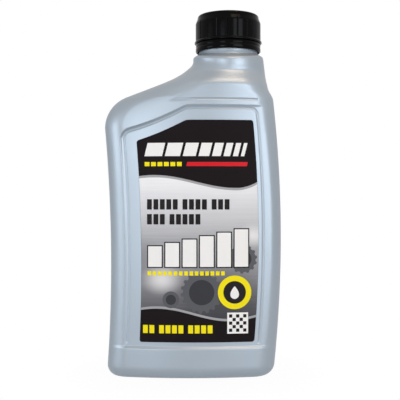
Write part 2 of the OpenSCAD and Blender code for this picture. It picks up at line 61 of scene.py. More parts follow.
QUARTER = math.pi / 2.0
Array = np.ndarray
Shape = tuple[np.ndarray, np.ndarray]
Point = tuple[float, float]
Tree = bpy.types.NodeTree
Node = bpy.types.Node
Material = bpy.types.Material


class Body(Enum):
    """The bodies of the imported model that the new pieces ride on."""

    SHELL = "shell"
    CAP = "cap"


class Slot(Enum):
    """The record's material slots, which are passed along with the new pieces."""

    BOTTLE = "bottle_hdpe"
    CAP = "cap_plastic"
    LABEL = "label_film"


def mix(a: Array | float, b: Array | float, t: Array | float) -> Array | float:
    """Goes straight from a to b as t goes from 0 to 1."""
    return a + (b - a) * t


def smooth(t: Array | float) -> Array:
    """Rises from 0 to 1 along 3 t squared less 2 t cubed, and is level outside."""
    u = np.clip(t, 0.0, 1.0)
    return u * u * (3.0 - 2.0 * u)


def between(z: Array | float, low: float, high: float) -> Array:
    """Smooth rise from 0 at low to 1 at high."""
    return smooth((z - low) / (high - low))


def soft_positive(d: Array, soft: float) -> Array:
    """The positive part of d with its kink rounded: half of d plus the root of d² + soft²."""
    return (d + np.sqrt(d * d + soft * soft)) / 2.0


def groove(distance: Array, half_width: float) -> Array:
    """Cross-section of a soft groove: the squared cosine of the share of its half width."""
    return np.cos(np.clip(distance / half_width, -1.0, 1.0) * QUARTER) ** 2


def round_meet(a: Array, b: Array, radius: float) -> Array:
    """Depth inside two edges that meet in a round corner.

    Args:
        a: Distance inside the first edge.
        b: Distance inside the second edge.
        radius: Radius of the corner.

    Returns:
        The smaller distance, or in the corner the radius less the distance to its centre.
    """
    corner = radius - np.hypot(radius - a, radius - b)
    return np.where((a < radius) & (b < radius), corner, np.minimum(a, b))


def round_edge(radius: float, count: int) -> Shape:
    """Set-backs along a quarter arc: the radius times 1 less the sine and 1 less the cosine."""
    angle = np.linspace(0.0, QUARTER, count)
    return radius * (1.0 - np.sin(angle)), radius * (1.0 - np.cos(angle))


def once_round(count: int) -> Array:
    """Even angles once round."""
    return np.linspace(0.0, TURN, count + 1)[:-1]


def stepped(levels: Iterable[float], steps: Iterable[float]) -> Array:
    """Values from level to level, with a step of its own for each run between two levels."""
    ends = list(levels)
    return np.concatenate([np.arange(a, b, s) for a, b, s in zip(ends, ends[1:], steps)])


def per_metre(size_mm: float) -> float:
    """How many of a size in millimetres go into a metre, as pattern scales want it."""
    return 1.0 / (size_mm * MM)


def linear_colour(code: str) -> tuple[float, float, float, float]:
    """Turns an sRGB hex colour into linear red, green, blue and alpha.

    Args:
        code: The colour as # and six hex digits.

    Returns:
        The four values.
    """
    parts = [int(code[i:i + 2], 16) / 255.0 for i in (1, 3, 5)]
    linear = [c / 12.92 if c <= 0.04045 else ((c + 0.055) / 1.055) ** 2.4 for c in parts]
    return (linear[0], linear[1], linear[2], 1.0)


def add_node(
    tree: Tree, kind: str, settings: dict[str | int, Any] | None = None,
    links: dict[str | int, Any] | None = None,
) -> Node:
    """Adds one node to a tree.

    Args:
        tree: The node tree.
        kind: Blender's name for the kind of node, less the ShaderNode that all begin with.
        settings: Values by the name or number of an input, or by the name of a property.
        links: What feeds inputs, by the input's name or number. It is a socket, or a node
            that then gives its first output.

    Returns:
        The new node.
    """
    node = tree.nodes.new(f"ShaderNode{kind}")
    for name, value in (settings or {}).items():
        if isinstance(name, int) or name in node.inputs:
            node.inputs[name].default_value = value
        else:
            setattr(node, name, value)
    for name, source in (links or {}).items():
        socket = source.outputs[0] if isinstance(source, Node) else source
        tree.links.new(socket, node.inputs[name])
    return node


def empty_tree(owner: Material | bpy.types.World) -> Tree:
    """Turns on the nodes of a material or a world and clears them.

    Args:
        owner: The material or world.

    Returns:
        Its empty node tree.
    """
    owner.use_nodes = True
    owner.node_tree.nodes.clear()
    return owner.node_tree


def white_share(tree: Tree) -> Node:
    """Adds a value that is 1 for what the camera, gloss and glass see, and 0 for lighting.

    Args:
        tree: The node tree.

    Returns:
        The node whose first output is the value.
    """
    path = add_node(tree, "LightPath")
    seen = add_node(
        tree, "Math", {"operation": "MAXIMUM"},
        {0: path.outputs["Is Camera Ray"], 1: path.outputs["Is Glossy Ray"]},
    )
    return add_node(
        tree, "Math", {"operation": "MAXIMUM"},
        {0: seen, 1: path.outputs["Is Transmission Ray"]},
    )


@dataclass
class Sheet:
    """Gathers grids of points, in millimetres, that become one mesh."""

    points: list[Array] = field(default_factory=list)
    faces: list[Array] = field(default_factory=list)
    count: int = 0

    def add_points(self, grid: Array) -> Array:
        """Stores a grid's points and returns their numbers in the same layout.

        Args:
            grid: Points, with x, y and z last.

        Returns:
            The numbers.
        """
        flat = grid.reshape(-1, 3)
        self.points.append(flat)
        numbers = np.arange(self.count, self.count + len(flat)).reshape(grid.shape[:-1])
        self.count += len(flat)
        return numbers

    def add_quads(self, numbers: Array, ring: bool = False, flip: bool = False) -> None:
        """Joins neighbouring rows and columns of numbered points with quads.

        Args:
            numbers: Point numbers, rows by columns.
            ring: Whether the last column joins the first.
            flip: Whether the faces turn the other way.
        """
        wide = np.concatenate([numbers, numbers[:, :1]], axis=1) if ring else numbers
        quads = np.stack([wide[:-1, :-1], wide[:-1, 1:], wide[1:, 1:], wide[1:, :-1]], axis=-1)
        quads = quads.reshape(-1, 4)
        self.faces.append(quads[:, ::-1] if flip else quads)

    def add_fan(self, ring: Array, centre: Array, flip: bool = False) -> None:
        """Closes a ring of numbered points with triangles about a new middle point.

        Args:
            ring: Point numbers, in order.
            centre: The middle point.
            flip: Whether the faces turn the other way.
        """
        middle = self.add_points(np.asarray(centre, dtype=float).reshape(1, 3))[0]
        fan = np.stack([ring, np.roll(ring, -1), np.full(len(ring), middle)], axis=-1)
        self.faces.append(fan[:, ::-1] if flip else fan)

    def add_stitch(self, fine: Array, coarse: Array) -> None:
        """Joins a fine ring to a coarse one that has one point for each few of its own.

        Args:
            fine: Point numbers of the fine ring.
            coarse: Point numbers of the coarse ring.
        """
        step = len(fine) // len(coarse)
        after = np.roll(fine, -1)
        triangles = [(fine[i::step], after[i::step], coarse) for i in range(step)]
        triangles.append((np.roll(fine, -step)[::step], np.roll(coarse, -1), coarse))
        self.faces += [np.stack(corners, axis=-1) for corners in triangles]

    def to_object(self, name: str, merge: bool, sharp: float) -> bpy.types.Object:
        """Makes the mesh object, at the origin.

        Args:
            name: Name of the piece.
            merge: Whether points within a micrometre become one and faces are turned outwards.
            sharp: Angle in degrees from which an edge is shaded sharp.

        Returns:
            The new object.
        """
        mesh = bpy.data.meshes.new(name)
        faces = [face for group in self.faces for face in group.tolist()]
        mesh.from_pydata((np.concatenate(self.points) * MM).tolist(), [], faces)
        if merge:
            shape = bmesh.new()
            shape.from_mesh(mesh)
            bmesh.ops.remove_doubles(shape, verts=shape.verts, dist=1e-6)
            bmesh.ops.dissolve_degenerate(shape, edges=shape.edges, dist=1e-7)
            bmesh.ops.recalc_face_normals(shape, faces=shape.faces)
            shape.to_mesh(mesh)
            shape.free()
        mesh.polygons.foreach_set("use_smooth", np.ones(len(mesh.polygons), dtype=bool))
        mesh.set_sharp_from_angle(angle=math.radians(sharp))
        mesh.update()
        obj = bpy.data.objects.new(name, mesh)
        bpy.context.scene.collection.objects.link(obj)
        return obj

    def to_piece(
        self, name: str, material: Material, body: Body, slot: Slot,
        stands_for: tuple[str, ...] = (), merge: bool = True, sharp: float = 40.0,
    ) -> None:
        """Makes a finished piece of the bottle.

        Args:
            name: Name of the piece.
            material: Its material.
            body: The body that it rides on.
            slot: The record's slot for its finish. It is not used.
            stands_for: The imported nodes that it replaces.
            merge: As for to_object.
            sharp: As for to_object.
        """
        obj = self.to_object(name, merge, sharp)
        obj.data.materials.append(material)
        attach(obj, body.value)
        if stands_for:
            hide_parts(*stands_for)
        LOG.info("%s: %d faces on %s", name, len(obj.data.polygons), body.value)


@dataclass(frozen=True)
class Finish:
    """A surface finish: a plastic's colour, gloss and fine relief.

    The relief sizes are real ones in millimetres. A relief of 0 leaves its pattern out.
    """

    name: str
    colour: str
    tint: str
    roughness: float
    ior: float = 1.5
    metallic: float = 0.0
    cloud_mm: float = 14.0
    grain_mm: float = 1.2
    grain_depth_mm: float = 0.004
    gloss_change: float = 0.05
    specular: float = 0.5

    def shader(self) -> tuple[Material, Tree, Node, Any]:
        """Makes the material with its shader, colour clouds, gloss change and grain.

        Returns:
            The material, its tree, the shader node and the Object coordinate socket.
        """
        material = bpy.data.materials.new(self.name)
        tree = empty_tree(material)
        place = add_node(tree, "TexCoord").outputs["Object"]
        cloud = add_node(
            tree, "TexNoise",
            {"Scale": per_metre(self.cloud_mm), "Detail": 3.0, "Roughness": 0.5},
            {"Vector": place},
        )
        tone = add_node(
            tree, "Mix",
            {"data_type": "RGBA", 6: linear_colour(self.colour), 7: linear_colour(self.tint)},
            {0: cloud},
        )
        # The noise stays mostly between 0.3 and 0.7, so the gloss changes over that range.
        low = self.roughness - self.gloss_change / 2.0
        gloss = add_node(
            tree, "MapRange",
            {"From Min": 0.3, "From Max": 0.7, "To Min": low, "To Max": low + self.gloss_change},
            {"Value": cloud},
        )
        grain = add_node(
            tree, "TexNoise",
            {"Scale": per_metre(self.grain_mm), "Detail": 2.0, "Roughness": 0.55},
            {"Vector": place},
        )
        relief = add_node(
            tree, "Bump", {"Strength": 1.0, "Distance": self.grain_depth_mm * MM},
            {"Height": grain},
        )
        bsdf = add_node(
            tree, "BsdfPrincipled",
            {"IOR": self.ior, "Metallic": self.metallic, "Specular IOR Level": self.specular},
            {"Base Color": tone.outputs[2], "Roughness": gloss, "Normal": relief},
        )
        add_node(tree, "OutputMaterial", {}, {"Surface": bsdf})
        return material, tree, bsdf, place

    def build(self) -> Material:
        """Makes the material."""
        return self.shader()[0]


@dataclass(frozen=True)
class BlownPolyethylene(Finish):
    """Pearl silver high-density polyethylene, extruded as a tube and blown in a mould.

    The pearl pigment gives a soft metallic sheen, the tube's die leaves faint upright lines,
    the sand-blasted mould a fine grain, and the mould's halves a parting line at y = 0. The
    real grain is about 0.1 mm wide, too fine to show, so it is drawn coarser.
    """

    die_line_mm: float = 2.2
    die_line_run_mm: float = 90.0
    die_line_depth_mm: float = 0.01
    parting_mm: float = 0.3
    parting_top: float = 0.3
    parting_depth_mm: float = 0.06

    def build(self) -> Material:
        """Makes the material.

        Returns:
            The material.
        """
        material, tree, bsdf, place = self.shader()
        grain = bsdf.inputs["Normal"].links[0].from_node
        narrow = per_metre(self.die_line_mm)
        stretch = add_node(
            tree, "Mapping", {"Scale": (narrow, narrow, per_metre(self.die_line_run_mm))},
            {"Vector": place},
        )
        lines = add_node(tree, "TexNoise", {"Scale": 1.0, "Detail": 2.0}, {"Vector": stretch})
        drawn = add_node(
            tree, "Bump", {"Strength": 1.0, "Distance": self.die_line_depth_mm * MM},
            {"Height": lines, "Normal": grain},
        )
        axes = add_node(tree, "SeparateXYZ", {}, {"Vector": place})
        off = add_node(tree, "Math", {"operation": "ABSOLUTE"}, {0: axes.outputs["Y"]})
        half = self.parting_mm * MM
        ridge = add_node(
            tree, "MapRange",
            {"From Min": self.parting_top * half, "From Max": half,
             "To Min": 1.0, "To Max": 0.0, "interpolation_type": "SMOOTHSTEP"},
            {"Value": off},
        )
        parting = add_node(
            tree, "Bump", {"Strength": 1.0, "Distance": self.parting_depth_mm * MM},
            {"Height": ridge, "Normal": drawn},
        )
        tree.links.new(parting.outputs["Normal"], bsdf.inputs["Normal"])
        return material


@dataclass(frozen=True)
class SilverPrint(Finish):
    """Silver halftone print: a grey run from low to high with brushed lines and soft spots.

    A stop is a share of the height and its colour. A spot has its place across and up, its
    reach, the colour at its middle and its strength, and is flatter than it is wide.
    """

    low_z: float = 38.0
    high_z: float = 124.0
    stops: tuple[tuple[float, str], ...] = (
        (0.0, "#4A4B50"), (0.12, "#6F7075"), (0.3, "#94959A"), (0.54, "#A6A8AC"),
        (0.66, "#C3C5C9"), (0.84, "#DEE0E4"), (1.0, "#F5F7FA"),
    )
    spots: tuple[tuple[float, float, float, str, float], ...] = (
        (18.0, 50.0, 40.0, "#3F4044", 0.8), (-42.0, 74.0, 26.0, "#6E6F73", 0.5),
        (-19.0, 62.0, 15.0, "#F0F0F1", 0.8), (38.0, 89.0, 12.0, "#F0F0F1", 0.85),
    )
    spot_squash: float = 1.3
    brush_mm: float = 0.9
    brush_run_mm: float = 60.0
    brush_change: float = 0.07

    def build(self) -> Material:
        """Makes the material.

        Returns:
            The material.
        """
        material, tree, bsdf, place = self.shader()
        axes = add_node(tree, "SeparateXYZ", {}, {"Vector": place})
        height = add_node(
            tree, "MapRange", {"From Min": self.low_z * MM, "From Max": self.high_z * MM},
            {"Value": axes.outputs["Z"]},
        )
        stretch = add_node(
            tree, "Mapping",
            {"Scale": (per_metre(self.brush_run_mm), 1.0, per_metre(self.brush_mm))},
            {"Vector": place},
        )
        brush = add_node(
            tree, "TexNoise", {"Scale": 1.0, "Detail": 4.0, "Roughness": 0.7},
            {"Vector": stretch},
        )
        wobble = add_node(
            tree, "MapRange", {"To Min": -self.brush_change, "To Max": self.brush_change},
            {"Value": brush},
        )
        level = add_node(tree, "Math", {"operation": "ADD"}, {0: height, 1: wobble})
        ramp = add_node(tree, "ValToRGB", {}, {"Fac": level})
        bands = ramp.color_ramp.elements
        while len(bands) < len(self.stops):
            bands.new(0.5)
        for band, (share, code) in zip(bands, self.stops):
            band.position = share
            band.color = linear_colour(code)
        colour = ramp.outputs["Color"]
        for x, z, reach, code, strength in self.spots:
            centred = add_node(
                tree, "VectorMath", {"operation": "SUBTRACT", 1: (x * MM, 0.0, z * MM)},
                {0: place},
            )
            flat = add_node(
                tree, "VectorMath", {"operation": "MULTIPLY", 1: (1.0, 0.0, self.spot_squash)},
                {0: centred},
            )
            far = add_node(tree, "VectorMath", {"operation": "LENGTH"}, {0: flat})
            share = add_node(
                tree, "MapRange",
                {"From Max": reach * MM, "To Min": strength, "To Max": 0.0,
                 "interpolation_type": "SMOOTHSTEP"},
                {"Value": far.outputs["Value"]},
            )
            lit = add_node(
                tree, "Mix", {"data_type": "RGBA", 7: linear_colour(code)},
                {0: share, 6: colour},
            )
            colour = lit.outputs[2]
        tree.links.new(colour, bsdf.inputs["Base Color"])
        return material


@dataclass(frozen=True)
class ClearOil(Finish):
    """Fresh motor oil: a clear amber liquid that bends light more than water does."""

    clearness: float = 0.85

    def build(self) -> Material:
        """Makes the material.

        Returns:
            The material.
        """
        material, _tree, bsdf, _place = self.shader()
        bsdf.inputs["Transmission Weight"].default_value = self.clearness
        return material


class Ink(Enum):
    """Plain inks of the label."""

    BLACK = "#1D191B"
    WHITE = "#F3F3F2"
    YELLOW = "#F7E718"
    RED = "#D8202A"
    RULE = "#A6A7AA"
    CHARCOAL = "#3A3B3F"
    STEEL = "#5B5D62"

    def finish(self) -> Finish:
        """The ink's finish: varnish over colour that lies a little unevenly."""
        return Finish(
            f"ink_{self.name.lower()}", self.value, self.value, roughness=0.45,
            grain_mm=0.8, grain_depth_mm=0.002, gloss_change=0.06, specular=0.1,
        )


@dataclass(frozen=True)
class Ring:
    """Places once round a section, counter-clockwise from the right end.

    Every place has the signs of its quarter, its shares of the straight runs across and
    through the body, its angle in the round corner and its angle on the oval.
    """

    side: Array
    face: Array
    across: Array
    through: Array
    corner: Array
    oval: Array

    @staticmethod
    def spaced(corner_r: float, fine_from: float, fine_step: float) -> "Ring":
        """Spaces the places so that they lie closest where the panel's edges run.

        Args:
            corner_r: Radius of the body's upright corners.
            fine_from: Distance from the side at which the close spacing starts.
            fine_step: The close spacing.

        Returns:
            The ring.
        """
        end_steps, corner_steps, face_steps = 7, 10, 55
        end_angle, face_angle = math.radians(16.0), math.radians(64.0)
        corner_end = 0.1
        first = math.acos(1.0 - fine_from / corner_r)
        close = np.arccos(1.0 - np.arange(fine_from, corner_r - corner_end, fine_step) / corner_r)
        turn = np.concatenate([np.linspace(0.0, first, corner_steps, endpoint=False), close])
        face_share = np.arange(face_steps) / face_steps
        end_share = np.arange(end_steps) / end_steps
        quarter = np.stack([
            np.concatenate([np.ones(end_steps + len(turn)), 1.0 - face_share]),
            np.concatenate([end_share, np.ones(len(turn) + face_steps)]),
            np.concatenate([np.zeros(end_steps), turn, np.full(face_steps, QUARTER)]),
            np.concatenate([
                end_angle * end_share, mix(end_angle, face_angle, turn / QUARTER),
                mix(face_angle, QUARTER, face_share),
            ]),
        ])
        middle = np.array([[0.0], [1.0], [QUARTER], [QUARTER]])
        half = np.concatenate([quarter, middle, quarter[:, :0:-1]], axis=1)
        count = quarter.shape[1]
        signs = np.concatenate([np.ones(count + 1), -np.ones(count - 1)])
        side = np.concatenate([signs, -signs])
        face = np.concatenate([np.ones(2 * count), -np.ones(2 * count)])
        return Ring(side, face, *np.concatenate([half, half], axis=1))

    def every(self, step: int) -> "Ring":
        """The ring with only one place in each few."""
        return Ring(*(getattr(self, part.name)[::step] for part in fields(self)))


@dataclass(frozen=True)
class BodyForm:
    """The body's form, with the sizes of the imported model, in millimetres.

    A margin is measured in from the body's side, and a half_w is half the width of a soft
    groove. The panel's rise is measured from the side's top and the groove's from the
    panel's. The panel is open on the right, where it runs out past the side. Nothing is sunk
    nearer to the middle plane than relief_from.
    """

    width: float = 108.7
    depth: float = 59.6
    side_h: float = 156.5
    shoulder_h: float = 46.8
    lean: float = 3.4
    waist_h: float = 80.0
    base_taper: float = 1.6
    corner_r: float = 13.0
    face_r: float = 217.0
    heel_r: float = 7.5
    band_h: float = 19.0
    band_step: float = 0.4
    bevel_h: float = 1.6
    flank_h: float = 21.3
    flank_blend: float = 8.0
    flank_draft: float = 0.12
    shoulder_r: float = 21.1
    shoulder_slope: float = math.radians(21.5)
    shoulder_pull: float = 0.54
    collar_slope: float = math.radians(41.0)
    collar_pull: float = 0.32
    collar_fillet: float = 6.0
    collar_r: float = 22.7
    collar_dip: float = 3.4
    collar_lip: float = 1.8
    neck_inset: float = 33.05
    flare_from: float = 21.0
    flare_to: float = 9.0
    oval_from: float = 28.0
    oval_to: float = 6.0
    dip_from: float = 14.0
    panel_depth: float = 1.0
    panel_margin: float = 10.2
    panel_rise: float = 13.4
    panel_round: float = 6.0
    panel_edge_out: float = 0.35
    panel_edge_w: float = 1.3
    panel_foot_rise: float = 2.4
    panel_open: float = 6.0
    panel_soft: float = 0.12
    relief_from: float = 8.0
    channel_margin: float = 12.0
    channel_half_w: float = 1.1
    channel_depth: float = 0.45
    channel_round: float = 4.0
    channel_end_h: float = 1.4
    groove_rise: float = 3.6
    groove_l: float = 52.0
    groove_shift: float = 9.0
    groove_half_w: float = 1.0
    slant_inset: float = 27.0
    slant_soft: float = 1.1
    slant_fall: float = 0.535
    slant_curl: float = 0.0039

    @property
    def collar_z(self) -> float:
        """Height of the collar's edge."""
        return self.side_h + self.shoulder_h

    @property
    def panel_top_z(self) -> float:
        """Height of the panel's top edge."""
        return self.side_h + self.panel_rise

    @property
    def waist_slim(self) -> float:
        """How much the base's taper takes at the waist."""
        return self.base_taper * (1.0 - self.waist_h / self.side_h) ** 2

    @property
    def waist_x(self) -> float:
        """Middle of the body at the waist."""
        return (self.lean + self.waist_slim) / 2.0

    @property
    def neck_x(self) -> float:
        """Place of the neck's axis across the body."""
        return self.waist_x + self.width / 2.0 - self.waist_slim - self.neck_inset

    @property
    def face_y(self) -> float:
        """Half depth at the faces."""
        return self.depth / 2.0 - self.band_step

    @property
    def bow(self) -> float:
        """Share of the half depth that the faces lose at the sides."""
        return (self.width / 2.0) ** 2 / (2.0 * self.face_r) / (self.depth / 2.0)

    def side_x(self, z: Array, side: Array | float) -> Array:
        """The sides of the body.

        They are a centre line bowed by the square of the height off the waist, plus or minus
        a half width that tapers by the square of the height's share left to the shoulder.

        Args:
            z: Height.
            side: 1 for the right side and -1 for the left one.

        Returns:
            The place across.
        """
        bowed = ((z - self.waist_h) / (self.side_h - self.waist_h)) ** 2
        middle = self.waist_x - self.lean * bowed
        half = self.width / 2.0 - self.base_taper * np.maximum(0.0, 1.0 - z / self.side_h) ** 2
        return middle + side * half

    def right_edge(self, z: Array) -> Array:
        """The right edge: the side, blended into a drafted flank under the collar.

        Args:
            z: Height.

        Returns:
            The place across.
        """
        flank_z = self.collar_z - self.flank_h
        flank = self.neck_x + self.collar_r + self.flank_draft * (self.collar_z - z)
        return mix(self.side_x(z, 1.0), flank, between(z, flank_z - self.flank_blend, flank_z))

    def half_depth(self, z: Array) -> Array:
        """Half depth: base band, bevel, faces, then a smooth flare to the collar's radius.

        Args:
            z: Height.

        Returns:
            The half depth.
        """
        step = np.clip((z - self.band_h) / self.bevel_h, 0.0, 1.0)
        body = mix(self.depth / 2.0, self.face_y, step)
        flare = between(z, self.collar_z - self.flare_from, self.collar_z - self.flare_to)
        return mix(body, self.collar_r, flare)

    def left_profile(self, wall: float) -> tuple[Array, Array, Array]:
        """The left edge from the floor to the collar's edge, set in by the wall.

        The side runs into an arc about the shoulder's turn, then a cubic curve whose ends
        have the two slopes, then a fillet arc to the collar.

        Args:
            wall: How far the edge is set in.

        Returns:
            Heights, which only rise, and the x and the slope at each.
        """
        slope, steep = self.shoulder_slope, self.collar_slope
        rise = np.linspace(0.0, self.side_h, 200, endpoint=False)
        side = np.stack([self.side_x(rise, -1.0) + wall, rise], axis=-1)
        turn = np.array([float(self.side_x(self.side_h, -1.0)) + self.shoulder_r, self.side_h])
        turned = np.linspace(math.pi, QUARTER + slope, 60)
        arc = turn + (self.shoulder_r - wall) * np.stack([np.cos(turned), np.sin(turned)], -1)
        nook = np.array([
            self.neck_x - self.collar_r - self.collar_fillet, self.collar_z - self.collar_lip,
        ])
        reach = self.collar_fillet + wall
        last = nook + reach * np.array([math.sin(steep), -math.cos(steep)])
        chord = float(np.hypot(*(last - arc[-1])))
        after = arc[-1] + self.shoulder_pull * chord * np.array([math.cos(slope), math.sin(slope)])
        before = last - self.collar_pull * chord * np.array([math.cos(steep), math.sin(steep)])
        t = np.linspace(0.0, 1.0, 90)[1:, None]
        curve = ((1 - t) ** 3 * arc[-1] + 3 * t * (1 - t) ** 2 * after
                 + 3 * t * t * (1 - t) * before + t ** 3 * last)
        angle = np.linspace(steep, QUARTER, 30)[1:]
        fillet = nook + reach * np.stack([np.sin(angle), -np.cos(angle)], axis=-1)
        line = np.concatenate([side, arc, curve, fillet, [[fillet[-1, 0], self.collar_z]]])
        slopes = np.concatenate([
            np.full(len(side), QUARTER), turned - QUARTER, mix(slope, steep, t[:, 0]), angle,
            [QUARTER],
        ])
        return line[:, 1], line[:, 0], slopes

    def section(
        self, ring: Ring, z: Array, x0: Array, x1: Array, half: Array, corner: Array | float,
        slope: Array | float, oval: Array | float, bowed: Array | float, dip: Array | float,
    ) -> Array:
        """One level of the surface: a rounded oblong that turns into an oval by a share.

        Where the left edge slopes, the corners are longer across by one over the slope's
        sine, so that their rounding square to the edge stays the same. The faces are bowed by
        the square of the distance from the middle, and the front and back dip by the squared
        sine of the oval's angle.

        Args:
            ring: The places round the level.
            z: Height.
            x0: Left end.
            x1: Right end.
            half: Half depth.
            corner: Radius of the corners.
            slope: Angle of the left edge against the floor.
            oval: Share of the oval, from 0 to 1.
            bowed: Share of the half depth that the faces lose at the ends.
            dip: How far the front and back hang below the height.

        Returns:
            Points, in the layout of the given arrays.
        """
        a = (x1 - x0) / 2.0
        c = np.maximum(1.0, np.minimum(corner, np.minimum(a, half) - 1.0))
        long = np.where(ring.side < 0.0, np.minimum(c / np.sin(slope), a - 1.0), c)
        box_x = (a - long) * ring.across + long * np.cos(ring.corner)
        box_y = (half - c) * ring.through + c * np.sin(ring.corner)
        px = mix(box_x, a * np.cos(ring.oval), oval)
        py = mix(box_y, half * np.sin(ring.oval), oval)
        return np.stack([
            (x0 + x1) / 2.0 + ring.side * px,
            ring.face * py * (1.0 - bowed * (px / a) ** 2),
            z - dip * np.sin(ring.oval) ** 2,
        ], axis=-1)

    def base_level(self, ring: Ring, z: Array, inset: Array) -> Array:
        """Levels of the base: the body's section set in on all sides."""
        return self.section(
            ring, z, self.side_x(z, -1.0) + inset, self.side_x(z, 1.0) - inset,
            self.depth / 2.0 - inset, self.corner_r - inset, QUARTER, 0.0, self.bow, 0.0,
        )

    def body_level(self, ring: Ring, z: Array, wall: float) -> Array:
        """Levels of the body above the heel, set in by the wall, at any heights.

        Args:
            ring: The places round each level.
            z: Height.
            wall: How far they are set in.

        Returns:
            The points.
        """
        heights, edge, slopes = self.left_profile(wall)
        top = self.collar_z
        return self.section(
            ring, z, np.interp(z, heights, edge), self.right_edge(z) - wall,
            self.half_depth(z) - wall, self.corner_r - wall, np.interp(z, heights, slopes),
            between(z, top - self.oval_from, top - self.oval_to),
            self.bow * (1.0 - between(z, top - self.oval_from, top - self.flare_to)),
            self.collar_dip * between(z, top - self.dip_from, top),
        )

    def neck_level(self, ring: Ring, z: Array, r: Array, dip: Array) -> Array:
        """Round levels about the neck's axis."""
        return self.section(
            ring, z, self.neck_x - r, self.neck_x + r, r, r, QUARTER, 1.0, 0.0, dip)

    def slant_drop(self, x: Array) -> Array:
        """Fall of the panel's top edge left of its corner: a parabola that starts softly."""
        d = soft_positive(self.neck_x - self.slant_inset - x, self.slant_soft)
        return d * (self.slant_fall - self.slant_curl * d)

    def floor_y(self, x: Array, rise: float) -> Array:
        """Distance of the panel's floor from the middle plane: an upright drum, moved out."""
        centre = self.face_r - (self.face_y - self.panel_depth)
        return np.sqrt((self.face_r + rise) ** 2 - x * x) - centre

    def edge_depths(
        self, x: Array, z: Array, margins: tuple[float, float], drop: float,
    ) -> tuple[Array, Array, Array]:
        """Distances inside an outline that follows the body's sides and the slanting top.

        Args:
            x: Place across.
            z: Height.
            margins: Margins from the left and right side.
            drop: How far the outline's top lies below the panel's top edge.

        Returns:
            Distances inside the left, the right and the top edge.
        """
        near = 0.05
        slope = (self.slant_drop(x - near) - self.slant_drop(x + near)) / (2.0 * near)
        top = (self.panel_top_z - drop - self.slant_drop(x) - z) / np.hypot(1.0, slope)
        left = x - (self.side_x(z, -1.0) + margins[0])
        right = self.side_x(z, 1.0) - margins[1] - x
        return left, right, top

    def furrows(self, x: Array, z: Array, panel: Array) -> Array:
        """Depth of the channel round the panel and of the groove on the shoulder.

        Both are soft furrows along a line: the channel's runs inside the panel's edge and
        ends above the base band, and the groove's is a level stretch over the panel.

        Args:
            x: Place across.
            z: Height.
            panel: Share of the panel, which is 0 outside it.

        Returns:
            The depth at each place.
        """
        left, right, top = self.edge_depths(
            x, z, (self.channel_margin,) * 2, self.channel_margin - self.panel_margin)
        line = round_meet(round_meet(left, top, self.channel_round), right, self.channel_round)
        foot = self.band_h + self.bevel_h + self.panel_depth
        ends = between(z, foot, foot + self.channel_end_h)
        channel = groove(line, self.channel_half_w) * ends * panel
        along = np.abs(x - (self.neck_x - self.groove_shift)) - self.groove_l / 2.0
        off = np.hypot(np.maximum(along, 0.0), z - (self.panel_top_z + self.groove_rise))
        return self.channel_depth * (channel + groove(off, self.groove_half_w))

    def relief(self, points: Array, wall: float = 0.0) -> Array:
        """Sinks the label panel, its channel and the shoulder groove into both faces.

        Inside the panel the face is cut to the drum of its floor, which a bevel raises above
        the base band. The wall's inner side has the panel alone.

        Args:
            points: Points of the body.
            wall: How far they are set in from the outside.

        Returns:
            The sunk points.
        """
        x, y, z = points[..., 0], points[..., 1], points[..., 2]
        out = np.abs(y)
        above = self.band_h + self.bevel_h - z
        bevel = np.clip(above / (self.bevel_h + self.panel_depth), 0.0, 1.0)
        floor = self.floor_y(x, -wall) + self.panel_foot_rise * bevel
        left, _right, top = self.edge_depths(
            x, z, (self.panel_margin - wall, -self.panel_open), -wall)
        inside = round_meet(left, top, self.panel_round)
        panel = smooth((inside + self.panel_edge_out) / self.panel_edge_w)
        depth = panel * soft_positive(out - floor, self.panel_soft)
        if wall == 0.0:
            depth += self.furrows(x, z, panel)
        moved = points.copy()
        moved[..., 1] = np.sign(y) * (out - np.where(out > self.relief_from, depth, 0.0))
        return moved


